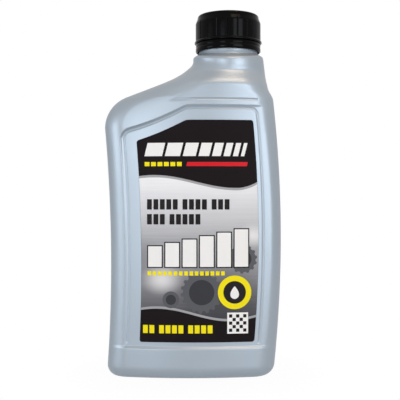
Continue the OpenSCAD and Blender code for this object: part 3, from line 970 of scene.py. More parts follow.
@dataclass
class BottleShell:
    """The blown shell with its neck finish."""

    form: BodyForm
    wall: float = 0.9
    foot_w: float = 3.0
    push_up: float = 2.8
    push_reach: float = 8.0
    weld_w: float = 0.8
    weld_rise: float = 0.4
    weld_share: float = 0.55
    bore_r: float = 16.0
    neck_r: float = 17.4
    neck_base_r: float = 19.05
    neck_root_r: float = 20.3
    bead_top_z: float = 211.25
    bead_h: float = 1.6
    bead_w: float = 0.9
    thread_z: float = 214.6
    thread_pitch: float = 4.233
    thread_angle: float = math.radians(200.0)
    straight_h: float = 150.0
    bend_in: Point = (110.0, 160.0)
    bend_out: Point = (176.0, 202.0)
    finish: Finish = BlownPolyethylene(
        "pearl_polyethylene", colour="#99A4AE", tint="#A1ACB6", roughness=0.4, ior=1.54,
        metallic=0.45, cloud_mm=30.0, grain_mm=0.9, grain_depth_mm=0.006, specular=0.15,
    )

    @property
    def rim_z(self) -> float:
        """Height of the mouth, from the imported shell."""
        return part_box("bottle")[1].z / MM

    def row_heights(self) -> Array:
        """Heights of the outside's rows.

        They lie closest at the base band's bevel, the panel's foot and top and the shoulder
        groove, where edges cross the faces.

        Returns:
            The heights, which only rise.
        """
        f = self.form
        top = f.panel_top_z
        levels = (
            f.heel_r, 18.2, 21.8, 25.0, 148.0, 161.0, top + 1.2, top + 2.4, top + 4.8,
            f.collar_z - 8.0, f.collar_z - 0.8,
        )
        return stepped(levels, (1.5, 0.3, 0.45, 3.1, 1.3, 0.3, 0.4, 0.26, 0.8, 0.6))

    def outside(self, ring: Ring) -> Array:
        """Outside of the body. Rows bend down to the left under the panel's slanting edge.

        Args:
            ring: The places round each row.

        Returns:
            The points, row by row.
        """
        f = self.form
        rows = self.row_heights()[:, None] * np.ones(len(ring.side))
        flat = f.body_level(ring, np.minimum(rows, self.straight_h), 0.0)[..., 0]
        bend = between(rows, *self.bend_in) * (1.0 - between(rows, *self.bend_out))
        return f.relief(f.body_level(ring, rows - f.slant_drop(flat) * bend, 0.0))

    def base_rows(self, ring: Ring, set_in: float, round_steps: int) -> Array:
        """The base from its middle out: push-up, standing ring and heel arc.

        The push-up's height is a smooth rise of the share of its reach, and the heel's set-in
        and height run on a quarter circle.

        Args:
            ring: The places round each level.
            set_in: Thickness of the wall that is left outside.
            round_steps: Points along the heel's arc.

        Returns:
            The points, level by level.
        """
        f = self.form
        push = np.linspace(1.0, 0.0, 8)
        angle = np.linspace(0.0, QUARTER, round_steps)[:-1]
        reach = f.heel_r - set_in
        z = np.concatenate([
            self.push_up * smooth(push) + set_in, f.heel_r - reach * np.cos(angle),
        ])
        inset = np.concatenate([
            f.heel_r + self.foot_w + self.push_reach * push, f.heel_r - reach * np.sin(angle),
        ])
        return f.base_level(ring, z[:, None], inset[:, None])

    def neck_rows(self, ring: Ring) -> Array:
        """Collar top, neck, bead, threaded part, rim and bore, as round levels.

        The collar's lip rises and turns in by a square, and the neck's root is a soft curve
        by powers of the share. The rest is a profile whose corners are broken by small steps.

        Args:
            ring: The places round each level.

        Returns:
            The points, level by level.
        """
        f = self.form
        z0, rim = f.collar_z, self.rim_z
        neck, upper, bore = self.neck_base_r, self.neck_r, self.bore_r
        bead, high = neck + self.bead_w, self.bead_top_z
        low = high - self.bead_h
        bend = np.linspace(0.0, 1.0, 6)
        lip = np.stack([
            f.collar_r - 0.75 * bend ** 2, z0 - 0.8 + 1.6 * bend - 0.35 * bend ** 2,
            f.collar_dip * (1.0 - 0.15 * bend),
        ])
        root = np.stack([
            mix(self.neck_root_r, neck, bend ** 0.5), mix(z0 + 1.45, z0 + 3.0, bend ** 1.4),
            f.collar_dip * mix(0.62, 0.25, bend),
        ])
        turned = np.array([
            (neck, z0 + 4.4), (neck, low - 0.25), (neck + 0.1, low), (bead - 0.15, low + 0.15),
            (bead, low + 0.4), (bead, high - 0.6), (bead - 0.1, high - 0.4),
            (upper + 0.3, high + 0.4), (upper, high + 0.75), (upper, rim - 4.0),
            (upper, rim - 0.5), (upper - 0.12, rim - 0.18), (upper - 0.4, rim),
            (bore + 0.3, rim), (bore + 0.06, rim - 0.1), (bore, rim - 0.35),
            (bore, rim - 8.0), (bore, z0 + 3.0),
        ]).T
        level = np.concatenate([turned, np.zeros((1, turned.shape[1]))])
        r, z, dip = np.concatenate([lip, root, level], axis=1)[:, :, None]
        return f.neck_level(ring, z, r, dip)

    def inside(self, ring: Ring) -> Array:
        """The wall's inner side from the neck down to the heel, with the panels sunk too.

        Args:
            ring: The places round each level.

        Returns:
            The points, level by level.
        """
        f = self.form
        roof_z = f.collar_z - 1.2 * self.wall
        roof = f.neck_level(
            ring, np.array([[roof_z + 2.2], [roof_z]]),
            np.array([[self.bore_r + 0.4], [f.collar_r - self.wall]]),
            f.collar_dip * np.array([[0.5], [1.0]]),
        )
        levels = (roof_z - 1.0, f.panel_top_z + 6.0, self.straight_h, 26.0, f.heel_r)
        rows = stepped(levels, (-2.0, -1.0, -8.0, -1.2))
        wide = rows[:, None] * np.ones(len(ring.side))
        wall = f.relief(f.body_level(ring, wide, self.wall), self.wall)
        return np.concatenate([roof, wall, self.base_rows(ring, self.wall, 6)[::-1]])

    def build_wall(self, material: Material) -> None:
        """The whole shell as one closed skin.

        Args:
            material: Its material.
        """
        f = self.form
        fine = Ring.spaced(f.corner_r, fine_from=9.0, fine_step=0.22)
        sheet = Sheet()
        numbers = sheet.add_points(np.concatenate([
            self.base_rows(fine, 0.0, 13), self.outside(fine), self.neck_rows(fine),
        ]))
        sheet.add_quads(numbers, ring=True)
        inner = sheet.add_points(self.inside(fine.every(4)))
        sheet.add_stitch(numbers[-1], inner[0])
        sheet.add_quads(inner, ring=True)
        sheet.add_fan(numbers[0], (f.waist_x, 0.0, self.push_up), flip=True)
        sheet.add_fan(inner[-1], (f.waist_x, 0.0, self.push_up + self.wall))
        sheet.to_piece("bottle_shell", material, Body.SHELL, Slot.BOTTLE, ("bottle",),
                       merge=False, sharp=60.0)

    def build_weld(self, material: Material) -> None:
        """The pinched weld line: a low ridge with a round section and tapered ends.

        Its x runs along the base, and its y and z lie on an ellipse that shrinks at the ends
        by the root of 1 less the eighth power of the share of its half length.

        Args:
            material: Its material.
        """
        t = np.linspace(-1.0, 1.0, 61)[:, None]
        a = once_round(16)
        swell = np.sqrt(np.maximum(1.0 - t ** 8, 0.0))
        x = self.form.waist_x + t * self.weld_share * self.form.width / 2.0 + 0.0 * a
        y = self.weld_w / 2.0 * swell * np.cos(a)
        z = self.push_up + self.weld_rise * swell * np.sin(a)
        sheet = Sheet()
        sheet.add_quads(sheet.add_points(np.stack([x, y, z], axis=-1)), ring=True)
        sheet.to_piece("base_weld_line", material, Body.SHELL, Slot.BOTTLE)

    def build(self) -> None:
        """Builds the wall, the weld line and the neck's thread."""
        material = self.finish.build()
        self.build_wall(material)
        self.build_weld(material)
        thread = thread_ridge(
            self.form.neck_x, self.neck_r, height=1.2, width=2.0, pitch=self.thread_pitch,
            start_z=self.thread_z, turns=2.0, start_angle=self.thread_angle,
        )
        thread.to_piece("neck_thread", material, Body.SHELL, Slot.BOTTLE)


def thread_ridge(
    axis_x: float, root_r: float, height: float, width: float, pitch: float, start_z: float,
    turns: float, start_angle: float,
) -> Sheet:
    """A thread ridge: a trapezoid with soft corners carried along a helix.

    The helix has x and y on a circle and a height that rises by the pitch each turn. The
    ridge grows out of the wall at its ends.

    Args:
        axis_x: Place of the axis across the body.
        root_r: Radius of the wall that carries the ridge.
        height: How far it stands out. A negative height makes an inside thread.
        width: Its width along the axis.
        pitch: Its rise each turn.
        start_z: Height at which it starts.
        turns: Number of turns.
        start_angle: Angle at which it starts.

    Returns:
        The sheet of the closed ridge.
    """
    per_turn, end_share, sunk, root = 96, 0.06, 0.02, 0.2
    t = np.linspace(0.0, 1.0, int(per_turn * turns))[:, None]
    angle = start_angle + TURN * turns * t
    grown = smooth(t / end_share) * smooth((1.0 - t) / end_share)
    up = np.array([-0.5, -0.42, -0.26, -0.16, 0.16, 0.26, 0.42, 0.5]) * width
    out = np.array([-0.25, 0.12, 0.88, 1.0, 1.0, 0.88, 0.12, -0.25])
    r = root_r + height * np.where(out > 0.0, out * grown - sunk, -root)
    z = start_z + pitch * turns * t + up
    points = np.stack([axis_x + r * np.cos(angle), r * np.sin(angle), z + 0.0 * r], axis=-1)
    sheet = Sheet()
    numbers = sheet.add_points(points)
    sheet.add_quads(numbers, ring=True)
    sheet.add_fan(numbers[0], points[0].mean(axis=0), flip=True)
    sheet.add_fan(numbers[-1], points[-1].mean(axis=0))
    return sheet


@dataclass
class ScrewClosure:
    """The ribbed cap and the tamper band under it.

    Both are injection-moulded black polypropylene from a polished mould, which gives deep
    black with small clear highlights. Its fine unevenness breaks them up a little.
    """

    form: BodyForm
    shell: BottleShell
    skirt_r: float = 21.15
    bore_r: float = 19.1
    flange_r: float = 21.8
    flange_h: float = 1.4
    top_wall: float = 1.8
    crown_h: float = 5.4
    crown_in: float = 1.3
    edge_r: float = 1.5
    dish_depth: float = 0.12
    dish_in: float = 3.0
    grip_count: int = 20
    grip_depth: float = 0.45
    grip_half_w: float = 0.6
    grip_shift: float = -0.2
    band_wall: float = 0.85
    band_foot_r: float = 0.9
    bridge_count: int = 12
    bridge_w: float = 0.8
    finish: Finish = Finish(
        "black_polypropylene", colour="#040406", tint="#070709", roughness=0.14, ior=1.49,
        cloud_mm=9.0, grain_mm=0.7, grain_depth_mm=0.004, gloss_change=0.06, specular=0.05,
    )

    @property
    def cap_z(self) -> Point:
        """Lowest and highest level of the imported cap."""
        low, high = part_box("cap")
        return low.z / MM, high.z / MM

    def angles(
        self, count: int, shift: float, fine: int, coarse: int, half: float,
    ) -> tuple[Array, Array]:
        """Angles once round, closest within half of each of a number of even places.

        Args:
            count: Number of even places.
            shift: How far the places are turned, as a share of their spacing.
            fine: Angles within half of a place.
            coarse: Angles from there to the next place.
            half: Half of the angle that is closely spaced.

        Returns:
            The angles, and each one's angle from the place nearest to it.
        """
        step = TURN / count
        near = np.linspace(-half, half, fine)
        far = np.linspace(half, step - half, coarse + 2)[1:-1]
        one = np.concatenate([near, far])
        angle = (np.arange(count)[:, None] * step + shift * step + one).ravel()
        return angle, (angle - shift * step + step / 2.0) % step - step / 2.0

    def turned(self, r: Array, z: Array, angle: Array) -> Array:
        """Points at radius r, height z and an angle about the neck's axis.

        Args:
            r: Radius.
            z: Height.
            angle: Angle.

        Returns:
            The points: x and y on a circle, and z.
        """
        r = r + 0.0 * angle
        z = z + 0.0 * r
        return np.stack([self.form.neck_x + r * np.cos(angle), r * np.sin(angle), z], axis=-1)

    def cap_outside(self) -> Array:
        """Radius and height along the cap's outside, from the bore's foot to the crown.

        The flange, the skirt, the sloping crown and the dished top are straight runs, and the
        edge between the last two is a quarter circle.

        Returns:
            One pair for each point.
        """
        low, high = self.cap_z
        skirt, flange, crown = self.skirt_r, self.flange_r, self.skirt_r - self.crown_in
        foot, crown_z = low + self.flange_h, high - self.crown_h
        share = np.linspace(0.0, 1.0, 9)
        down, back = round_edge(self.edge_r, 9)
        top = high - self.dish_depth
        return np.array([
            (self.bore_r + 0.15, low), (flange - 0.35, low), (flange - 0.1, low + 0.1),
            (flange, low + 0.35), (flange, foot - 0.55), (flange - 0.1, foot - 0.3),
            (skirt + 0.12, foot - 0.05), (skirt, foot + 0.15),
            *((skirt, z) for z in np.linspace(foot + 0.3, foot + 1.2, 5)),
            *((skirt, z) for z in np.linspace(foot + 3.0, crown_z - 0.4, 5)),
            (skirt - 0.03, crown_z), (skirt - 0.12, crown_z + 0.35),
            *zip(mix(skirt - 0.2, crown + 0.3, share),
                 mix(crown_z + 0.55, high - self.crown_h / 2.0, share)),
            (crown + 0.06, high - self.edge_r - 0.25),
            *zip(crown - back, high - down),
            (crown - self.dish_in, high), (crown - self.dish_in - 0.3, top),
            (8.0, top), (0.0, top),
        ])

    def build_cap(self, material: Material) -> None:
        """The cap: a turned profile whose skirt is cut by upright soft grooves.

        A groove's radius is the skirt's less the squared cosine of the distance from its
        middle. Where the profile is slimmer than that, the profile counts.

        Args:
            material: Its material.
        """
        low, high = self.cap_z
        foot = low + self.flange_h
        half = self.grip_half_w / self.skirt_r
        angle, off = self.angles(self.grip_count, self.grip_shift, 13, 9, 1.15 * half)
        r, z = self.cap_outside().T[:, :, None]
        cut = self.grip_depth * groove(off, half) * between(z, foot + 0.25, foot + 0.9)
        r = np.where(cut > 0.0, np.minimum(r, self.skirt_r - cut), r)
        sheet = Sheet()
        sheet.add_quads(sheet.add_points(self.turned(r, z, angle)), ring=True)
        bore, ceiling = self.bore_r, high - self.top_wall
        r, z = np.array([
            (0.0, ceiling), (12.0, ceiling), (bore - 0.4, ceiling), (bore, ceiling - 0.4),
            *((bore, z) for z in np.linspace(ceiling - 2.0, low + 0.3, 6)), (bore + 0.15, low),
        ]).T[:, :, None]
        sheet.add_quads(sheet.add_points(self.turned(r, z, angle)), ring=True)
        sheet.to_piece("screw_cap", material, Body.CAP, Slot.CAP, ("cap",), sharp=50.0)

    def build_cap_thread(self, material: Material) -> None:
        """The cap's inside thread, half a pitch from the neck's.

        Args:
            material: Its material.
        """
        shell = self.shell
        thread = thread_ridge(
            self.form.neck_x, self.bore_r, height=-1.25, width=1.6, pitch=shell.thread_pitch,
            start_z=shell.thread_z + shell.thread_pitch / 2.0, turns=1.6,
            start_angle=shell.thread_angle,
        )
        thread.to_piece("cap_thread", material, Body.CAP, Slot.CAP)

    def build_band(self, material: Material) -> None:
        """The tamper band: a closed turned profile that rises to bridges at even places.

        The profile has a rolled foot, which is a quarter circle, a groove and an inner lip
        under the neck's bead. A bridge's flanks are smooth falls.

        Args:
            material: Its material.
        """
        low, high = (corner.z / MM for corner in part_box("tamper_band"))
        top = self.cap_z[0] - 0.25
        r1 = self.skirt_r - 0.05
        r0 = r1 - self.band_wall
        lip_r = self.shell.neck_base_r + 0.3
        under = self.shell.bead_top_z - self.shell.bead_h - 0.2
        back, up = round_edge(self.band_foot_r, 7)
        bridge_top = [(r0 + 0.6, top), (r0 + 0.1, top)]
        outer = [
            *zip(r1 - back, low + up), (r1, low + 2.3), (r1 - 0.05, low + 2.55),
            (r1 - 0.26, low + 2.85), (r1 - 0.3, low + 3.05), (r1 - 0.26, low + 3.25),
            (r1 - 0.14, low + 3.42), (r1 - 0.1, low + 3.7), (r1 - 0.1, top - 0.15),
            (r1 - 0.22, top),
        ]
        inner = [
            (r0, top - 0.1), (r0, under + 0.3), (r0 - 0.1, under), (lip_r, under - 0.1),
            (lip_r, under - 0.5), (r0, low + 1.2), (r0, low + 0.3),
        ]
        half, fall = self.bridge_w / 2.0 / r0, 0.3
        angle, off = self.angles(self.bridge_count, 0.0, 9, 12, 1.4 * half)
        r, z = np.array(outer + bridge_top + inner).T[:, :, None]
        bridge = np.zeros_like(z)
        bridge[len(outer):len(outer) + len(bridge_top)] = high - top
        z = z + bridge * (1.0 - smooth((np.abs(off) / half - (1.0 - fall / 2.0)) / fall))
        sheet = Sheet()
        numbers = sheet.add_points(self.turned(r, z, angle))
        sheet.add_quads(np.concatenate([numbers, numbers[:1]]), ring=True)
        sheet.to_piece("tamper_ring", material, Body.SHELL, Slot.CAP, ("tamper_band",),
                       sharp=50.0)

    def build(self) -> None:
        """Builds the cap, its thread and the band."""
        material = self.finish.build()
        self.build_cap(material)
        self.build_cap_thread(material)
        self.build_band(material)


@dataclass
class FrontLabel:
    """The printed film in the front recess, with plain fields of colour in place of words.

    Ink lies on the film in thin layers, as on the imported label. A place in the print is a
    distance across and up from the film's lower left corner, and every shape is wrapped on
    the drum of the panel's floor.
    """

    form: BodyForm
    left: float = 20.2
    right: float = 15.0
    drop: float = 9.2
    lift: float = 4.2
    corner_r: float = 1.5
    glue: float = 0.03
    film: float = 0.15
    ink: float = 0.03
    ink_edge: float = 0.1
    upper_wave_h: float = 99.2
    upper_wave_rise: float = 4.0
    upper_wave_half: float = 51.0
    upper_crest: float = 9.0
    upper_lift: float = 0.015
    upper_lift_from: float = 60.0
    lower_wave_h: float = 17.0
    lower_wave_rise: float = 3.9
    lower_wave_half: float = 45.0
    lower_crest: float = 11.0
    rule_w: float = 1.3
    rule_lap: float = 0.15
    bar_w: float = 3.0
    bar_gap: float = 1.0
    title_at: Point = (3.0, 115.0)
    title_widths: tuple[float, ...] = (11.0, 9.4, 8.0, 6.6, 5.4, 4.2, 3.2, 2.2)
    title_slant: float = 0.25
    gauge_at: Point = (5.4, 46.6)
    gauge_w: float = 8.4
    gauge_step: float = 10.7
    gauge_h: float = 12.7
    gauge_rise: float = 2.1
    gauge_count: int = 6
    gauge_rim: float = 0.7
    gears: tuple[tuple[Point, float, int], ...] = (
        ((38.5, 30.8), 13.0, 18), ((64.0, 51.3), 9.0, 14),
    )
    pulley_at: Point = (19.5, 26.3)
    pulley_r: float = 5.2
    hub_share: float = 0.6
    seal_at: Point = (58.9, 30.8)
    seal_r: float = 10.4
    seal_hole_r: float = 7.0
    check_at: Point = (55.4, 6.4)
    tile_w: float = 2.2
    tile_count: int = 5

    @property
    def low_z(self) -> float:
        """Height of the film's lower edge."""
        return self.form.band_h + self.lift

    @property
    def low_x(self) -> float:
        """Place of the film's left edge at its foot."""
        return float(self.form.side_x(self.low_z, -1.0)) + self.left

    def upper_wave(self, x: Array) -> Array:
        """Upper wave: a cosine, lifted past its trough by a parabola.

        Args:
            x: Place across.

        Returns:
            Its height.
        """
        s = x - self.low_x
        lift = self.upper_lift * np.maximum(s - self.upper_lift_from, 0.0) ** 2
        phase = math.pi * (s - self.upper_crest) / self.upper_wave_half
        return self.low_z + self.upper_wave_h + self.upper_wave_rise * np.cos(phase) + lift

    def lower_wave(self, x: Array) -> Array:
        """Lower wave: a cosine."""
        phase = math.pi * (x - self.low_x - self.lower_crest) / self.lower_wave_half
        return self.low_z + self.lower_wave_h + self.lower_wave_rise * np.cos(phase)

    def top_edge(self, x: Array) -> Array:
        """Top edge of the film, which slants with the panel's."""
        return self.form.panel_top_z - self.drop - self.form.slant_drop(x)

    def across(
        self, low: Callable[[Array], Array], high: Callable[[Array], Array],
        corner: float = 0.01, inset: float = 0.0,
    ) -> Shape:
        """A field from one side of the film to the other.

        Rows run from the low to the high edge, and each reaches from the left to the right
        edge at its own height, less a round corner. The heights hang on the places across
        and the other way round, so both are worked out a few times in turn.

        Args:
            low: Lower edge by the place across.
            high: Upper edge by the place across.
            corner: Radius of the corners.
            inset: Distance from the film's sides.

        Returns:
            The x and the z of a grid.
        """
        u = np.linspace(0.0, 1.0, 64)
        height = float(np.mean(high(np.zeros(1)) - low(np.zeros(1))))
        ends = round_edge(corner / height, 7)[1]
        v = np.unique(np.concatenate([ends, np.linspace(0.0, 1.0, 40), 1.0 - ends]))[:, None]
        x = mix(self.low_x, -self.low_x, u) + 0.0 * v
        for _ in range(6):
            z = mix(low(x), high(x), v)
            edge = np.minimum(z - low(x), high(x) - z)
            near = np.clip(corner - edge, 0.0, corner)
            cut = corner - np.sqrt(np.maximum(corner ** 2 - near ** 2, 0.0)) + inset
            x = mix(self.form.side_x(z, -1.0) + self.left + cut,
                    self.form.side_x(z, 1.0) - self.right - cut, u)
        return x, z

    def bar(
        self, at: Point, width: float, height: float, slant: float = 0.0,
        corner: float = 0.15,
    ) -> Shape:
        """A bar with slightly round corners, sheared by its slant.

        Args:
            at: Place of its lower left corner.
            width: Width.
            height: Height.
            slant: Shift across for each millimetre up.
            corner: Radius of the corners.

        Returns:
            The x and the z of a grid.
        """
        inset, lower = round_edge(corner, 4)
        up = np.concatenate([lower, height - lower[::-1]])[:, None]
        inset = np.concatenate([inset, inset[::-1]])[:, None]
        u = np.linspace(0.0, 1.0, 2 + int(width / 2.0))
        over = mix(inset, width - inset, u) + slant * up
        return self.low_x + at[0] + over, self.low_z + at[1] + up + 0.0 * over

    def row(
        self, at: Point, widths: Iterable[float], height: float, gap: float | None = None,
        slant: float = 0.0,
    ) -> list[Shape]:
        """A row of bars.

        Args:
            at: Place of the first bar's lower left corner.
            widths: The bars' widths.
            height: Their height.
            gap: The gap between them, or none for the usual one.
            slant: Shift across for each millimetre up.

        Returns:
            The bars' grids.
        """
        x, z = at
        shapes = []
        for width in widths:
            shapes.append(self.bar((x, z), width, height, slant))
            x += width + (self.bar_gap if gap is None else gap)
        return shapes

    def grouped_row(self, at: Point, groups: Iterable[int], height: float) -> list[Shape]:
        """A row of like bars in groups, with a wider gap from group to group.

        Args:
            at: Place of the first bar's lower left corner.
            groups: Number of bars in each group.
            height: Height of the bars.

        Returns:
            The bars' grids.
        """
        x, z = at
        shapes = []
        for count in groups:
            shapes += self.row((x, z), [self.bar_w] * count, height)
            x += count * (self.bar_w + self.bar_gap) + 2.0 * self.bar_gap
        return shapes

    def gauge(self, rim: float) -> list[Shape]:
        """Gauge bars that rise to the right by steps, with a rim round each.

        Args:
            rim: Width of the rim.

        Returns:
            The bars' grids.
        """
        x, z = self.gauge_at
        return [
            self.bar((x + self.gauge_step * i - rim, z - rim), self.gauge_w + 2.0 * rim,
                     self.gauge_h + self.gauge_rise * i + 2.0 * rim)
            for i in range(self.gauge_count)
        ]

    def tiles(self) -> list[Shape]:
        """Every second tile of a checked square.

        Returns:
            The tiles' grids.
        """
        x, z = self.check_at
        side = self.tile_w - 2.0 * self.ink_edge
        return [
            self.bar((x + self.tile_w * i, z + self.tile_w * k), side, side, corner=0.05)
            for i in range(self.tile_count) for k in range(self.tile_count) if (i + k) % 2 == 0
        ]

    def round_shape(self, at: Point, rim: Array, angle: Array) -> Shape:
        """A grid that closes into a ring round a middle, with a rim radius at each angle."""
        r = np.linspace(0.0, 1.0, 2 + int(np.max(rim) / 2.0))[:, None] * rim
        return self.low_x + at[0] + r * np.cos(angle), self.low_z + at[1] + r * np.sin(angle)

    def disc(self, at: Point, radius: float) -> Shape:
        """A disc."""
        angle = once_round(72)
        return self.round_shape(at, radius + 0.0 * angle, angle)

    def gear(self, at: Point, radius: float, teeth: int) -> Shape:
        """A gear: each tooth's flanks take 0.15 of the pitch and its tip takes 0.35.

        Args:
            at: Place of its middle.
            radius: Radius at the teeth's tips.
            teeth: Number of teeth.

        Returns:
            The x and the z of a grid.
        """
        share = np.array([0.0, 0.15, 0.325, 0.5, 0.65, 0.825])
        height = np.array([0.89, 1.0, 1.0, 1.0, 0.89, 0.89])
        angle = (np.arange(teeth)[:, None] + share).ravel() * TURN / teeth
        return self.round_shape(at, radius * np.tile(height, teeth), angle)

    def oil_drop(self, at: Point, size: float) -> Shape:
        """A plain drop: a circle whose upper half is drawn out to a point.

        Args:
            at: Place of the circle's middle.
            size: Radius of the circle.

        Returns:
            The x and the z of a grid.
        """
        angle = once_round(64)
        up = np.maximum(np.sin(angle), 0.0)
        over = size * np.cos(angle) * (1.0 - 0.55 * up ** 2)
        rise = size * (np.sin(angle) + 0.9 * up)
        return self.round_shape(at, np.hypot(over, rise), np.arctan2(rise, over))

    def add_plate(
        self, sheet: Sheet, shape: Shape, low: float, high: float, ring: bool,
    ) -> None:
        """Adds a thin closed plate that lies on the drum.

        Args:
            sheet: The sheet that it joins.
            shape: The x and the z of its grid.
            low: Distance of its underside above the panel's floor.
            high: Distance of its upper side above the panel's floor.
            ring: Whether the grid closes into a ring.
        """
        x, z = shape
        under, over = (
            sheet.add_points(np.stack([x, -self.form.floor_y(x, rise), z], axis=-1))
            for rise in (low, high)
        )
        sheet.add_quads(over, ring)
        sheet.add_quads(under, ring, flip=True)
        sheet.add_quads(np.stack([under[0], over[0]]), ring)
        sheet.add_quads(np.stack([over[-1], under[-1]]), ring)
        if not ring:
            sheet.add_quads(np.stack([over[:, 0], under[:, 0]]))
            sheet.add_quads(np.stack([under[:, -1], over[:, -1]]))

    def print_ink(
        self, name: str, ink: Ink | Finish, layers: int, bars: Iterable[Shape] = (),
        rounds: Iterable[Shape] = (),
    ) -> None:
        """Prints the shapes of one ink as one piece that is rooted in the film.

        Args:
            name: Name of the piece, after label_.
            ink: The ink, or a finish of its own.
            layers: How many layers of ink its upper side lies above the film.
            bars: Its open grids.
            rounds: Its grids that close into rings.
        """
        sheet = Sheet()
        low = self.glue + self.film / 2.0
        high = self.glue + self.film + layers * self.ink
        for shapes, ring in ((bars, False), (rounds, True)):
            for shape in shapes:
                self.add_plate(sheet, shape, low, high, ring)
        finish = ink.finish() if isinstance(ink, Ink) else ink
        sheet.to_piece(f"label_{name}", finish.build(), Body.SHELL, Slot.LABEL)

    def build_film(self) -> None:
        """The black film itself.

        It is a polypropylene film printed black and varnished, which gives an even black with
        a low sheen, a little wavy where the glue holds it.
        """
        finish = Finish(
            "black_print_film", Ink.BLACK.value, "#221E20", roughness=0.45, cloud_mm=25.0,
            grain_mm=6.0, grain_depth_mm=0.01, gloss_change=0.05, specular=0.02,
        )
        shape = self.across(lambda x: self.low_z + 0.0 * x, self.top_edge, self.corner_r)
        sheet = Sheet()
        self.add_plate(sheet, shape, self.glue, self.glue + self.film, ring=False)
        sheet.to_piece("label_film", finish.build(), Body.SHELL, Slot.LABEL, ("front_label",))

    def build_waves(self) -> None:
        """The silver field and the lines along its two waves."""
        edge, rule, lap = self.ink_edge, self.rule_w, self.rule_lap
        field_shape = self.across(self.lower_wave, self.upper_wave, inset=edge)
        upper = self.across(lambda x: self.upper_wave(x) - rule,
                            lambda x: self.upper_wave(x) + lap, inset=edge)
        lower = self.across(lambda x: self.lower_wave(x) - lap,
                            lambda x: self.lower_wave(x) + rule, inset=edge)
        silver = SilverPrint("silver_print", "#C0C0C2", "#C0C0C2", roughness=0.45, specular=0.1)
        self.print_ink("silver_field", silver, 1, [field_shape])
        self.print_ink("wave_rules", Ink.RULE, 2, [upper, lower])

    def build_top(self) -> None:
        """The fields on the black top and foot: slanted white bars, a red bar, yellow marks."""
        bars = self.row(self.title_at, self.title_widths, 8.2, gap=1.7, slant=self.title_slant)
        self.print_ink("white_top", Ink.WHITE, 1, bars)
        self.print_ink("red_rule", Ink.RED, 1,
                       [self.bar((29.0, 108.8), 37.5, 2.6, self.title_slant)])
        marks = self.row((3.2, 108.8), [self.bar_w] * 6, 2.6)
        self.print_ink("yellow_marks", Ink.YELLOW, 1,
                       marks + self.grouped_row((2.2, 5.6), (2, 4, 4), 5.0))

    def build_field(self) -> None:
        """The fields on the silver: gears, dark rows, a gauge and a yellow row."""
        gears = [self.gear(*gear) for gear in self.gears]
        hubs = [self.disc(at, self.hub_share * radius) for at, radius, _teeth in self.gears]
        pulley = self.disc(self.pulley_at, self.pulley_r)
        pulley_hub = self.disc(self.pulley_at, self.hub_share * self.pulley_r)
        self.print_ink("gears", Ink.STEEL, 2, rounds=[*gears, pulley])
        self.print_ink("gear_hubs", Ink.CHARCOAL, 3, rounds=[*hubs, pulley_hub])
        rows = (self.grouped_row((4.7, 82.0), (5, 4, 3), 6.4)
                + self.grouped_row((4.7, 72.8), (3, 5), 6.4))
        self.print_ink("dark_rows", Ink.BLACK, 4, rows)
        self.print_ink("gauge_rims", Ink.BLACK, 4, self.gauge(self.gauge_rim))
        self.print_ink("white_gauge", Ink.WHITE, 5, self.gauge(0.0))
        self.print_ink("yellow_row", Ink.YELLOW, 4,
                       self.row((5.0, 41.3), [0.75 * self.bar_w] * 15, 2.6))

    def build_seal(self) -> None:
        """The round seal and the checked square."""
        x, z = self.seal_at
        hole = self.seal_hole_r
        drop = self.oil_drop((x, z - hole / 5.0), 0.38 * hole)
        self.print_ink("seal_ring", Ink.YELLOW, 4, rounds=[self.disc((x, z), self.seal_r)])
        self.print_ink("seal_middle", Ink.BLACK, 5, rounds=[self.disc((x, z), hole)])
        self.print_ink("seal_drop", Ink.WHITE, 6, rounds=[drop])
        x, z = self.check_at
        margin = self.tile_w / 2.0
        side = (self.tile_count + 1) * self.tile_w - 2.0 * self.ink_edge
        ground = self.bar((x - margin, z - margin), side, side)
        self.print_ink("check_ground", Ink.WHITE, 4, [ground])
        self.print_ink("check_tiles", Ink.BLACK, 5, self.tiles())

    def build(self) -> None:
        """Builds the film and every ink field."""
        self.build_film()
        self.build_waves()
        self.build_top()
        self.build_field()
        self.build_seal()


@dataclass
class Contents:
    """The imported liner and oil, which keep their meshes and get finishes.

    The liner is foamed polyethylene cut from sheet, which gives a dull white with fine cells.
    """

    foam: Finish = Finish(
        "foamed_polyethylene", colour="#E9E6DC", tint="#DEDACE", roughness=0.8,
        cloud_mm=5.0, grain_mm=0.5, grain_depth_mm=0.05, gloss_change=0.05,
    )
    oil: Finish = ClearOil(
        "amber_oil", colour="#C07A22", tint="#B87020", roughness=0.03, ior=1.47,
        cloud_mm=40.0, grain_mm=30.0, grain_depth_mm=0.0, gloss_change=0.0,
    )

    def build(self) -> None:
        """Dresses both nodes."""
        for node, finish in (("cap_liner", self.foam), ("oil", self.oil)):
            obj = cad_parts[node]
            obj.data.materials.clear()
            obj.data.materials.append(finish.build())
            LOG.info("%s: dressed", node)


@dataclass(frozen=True)
class Lamp:
    """A square soft lamp: its place and side in metres, power, colour and mirror image."""

    name: str
    place: tuple[float, float, float]
    size: float
    power: float
    colour: str = "#F4F9FF"
    mirrored: bool = True

    def build(self, aim_z: float) -> None:
        """Sets up the lamp, turned to a height on the middle axis.

        Args:
            aim_z: The height, in metres.
        """
        data = bpy.data.lights.new(self.name, "AREA")
        data.size = self.size
        data.energy = self.power
        data.color = linear_colour(self.colour)[:3]
        lamp = bpy.data.objects.new(self.name, data)
        lamp.location = self.place
        lamp.visible_glossy = self.mirrored
        x, y, z = self.place
        tilt = math.atan2(math.hypot(x, y), z - aim_z)
        lamp.rotation_euler = (tilt, 0.0, math.atan2(x, -y))
        bpy.context.scene.collection.objects.link(lamp)


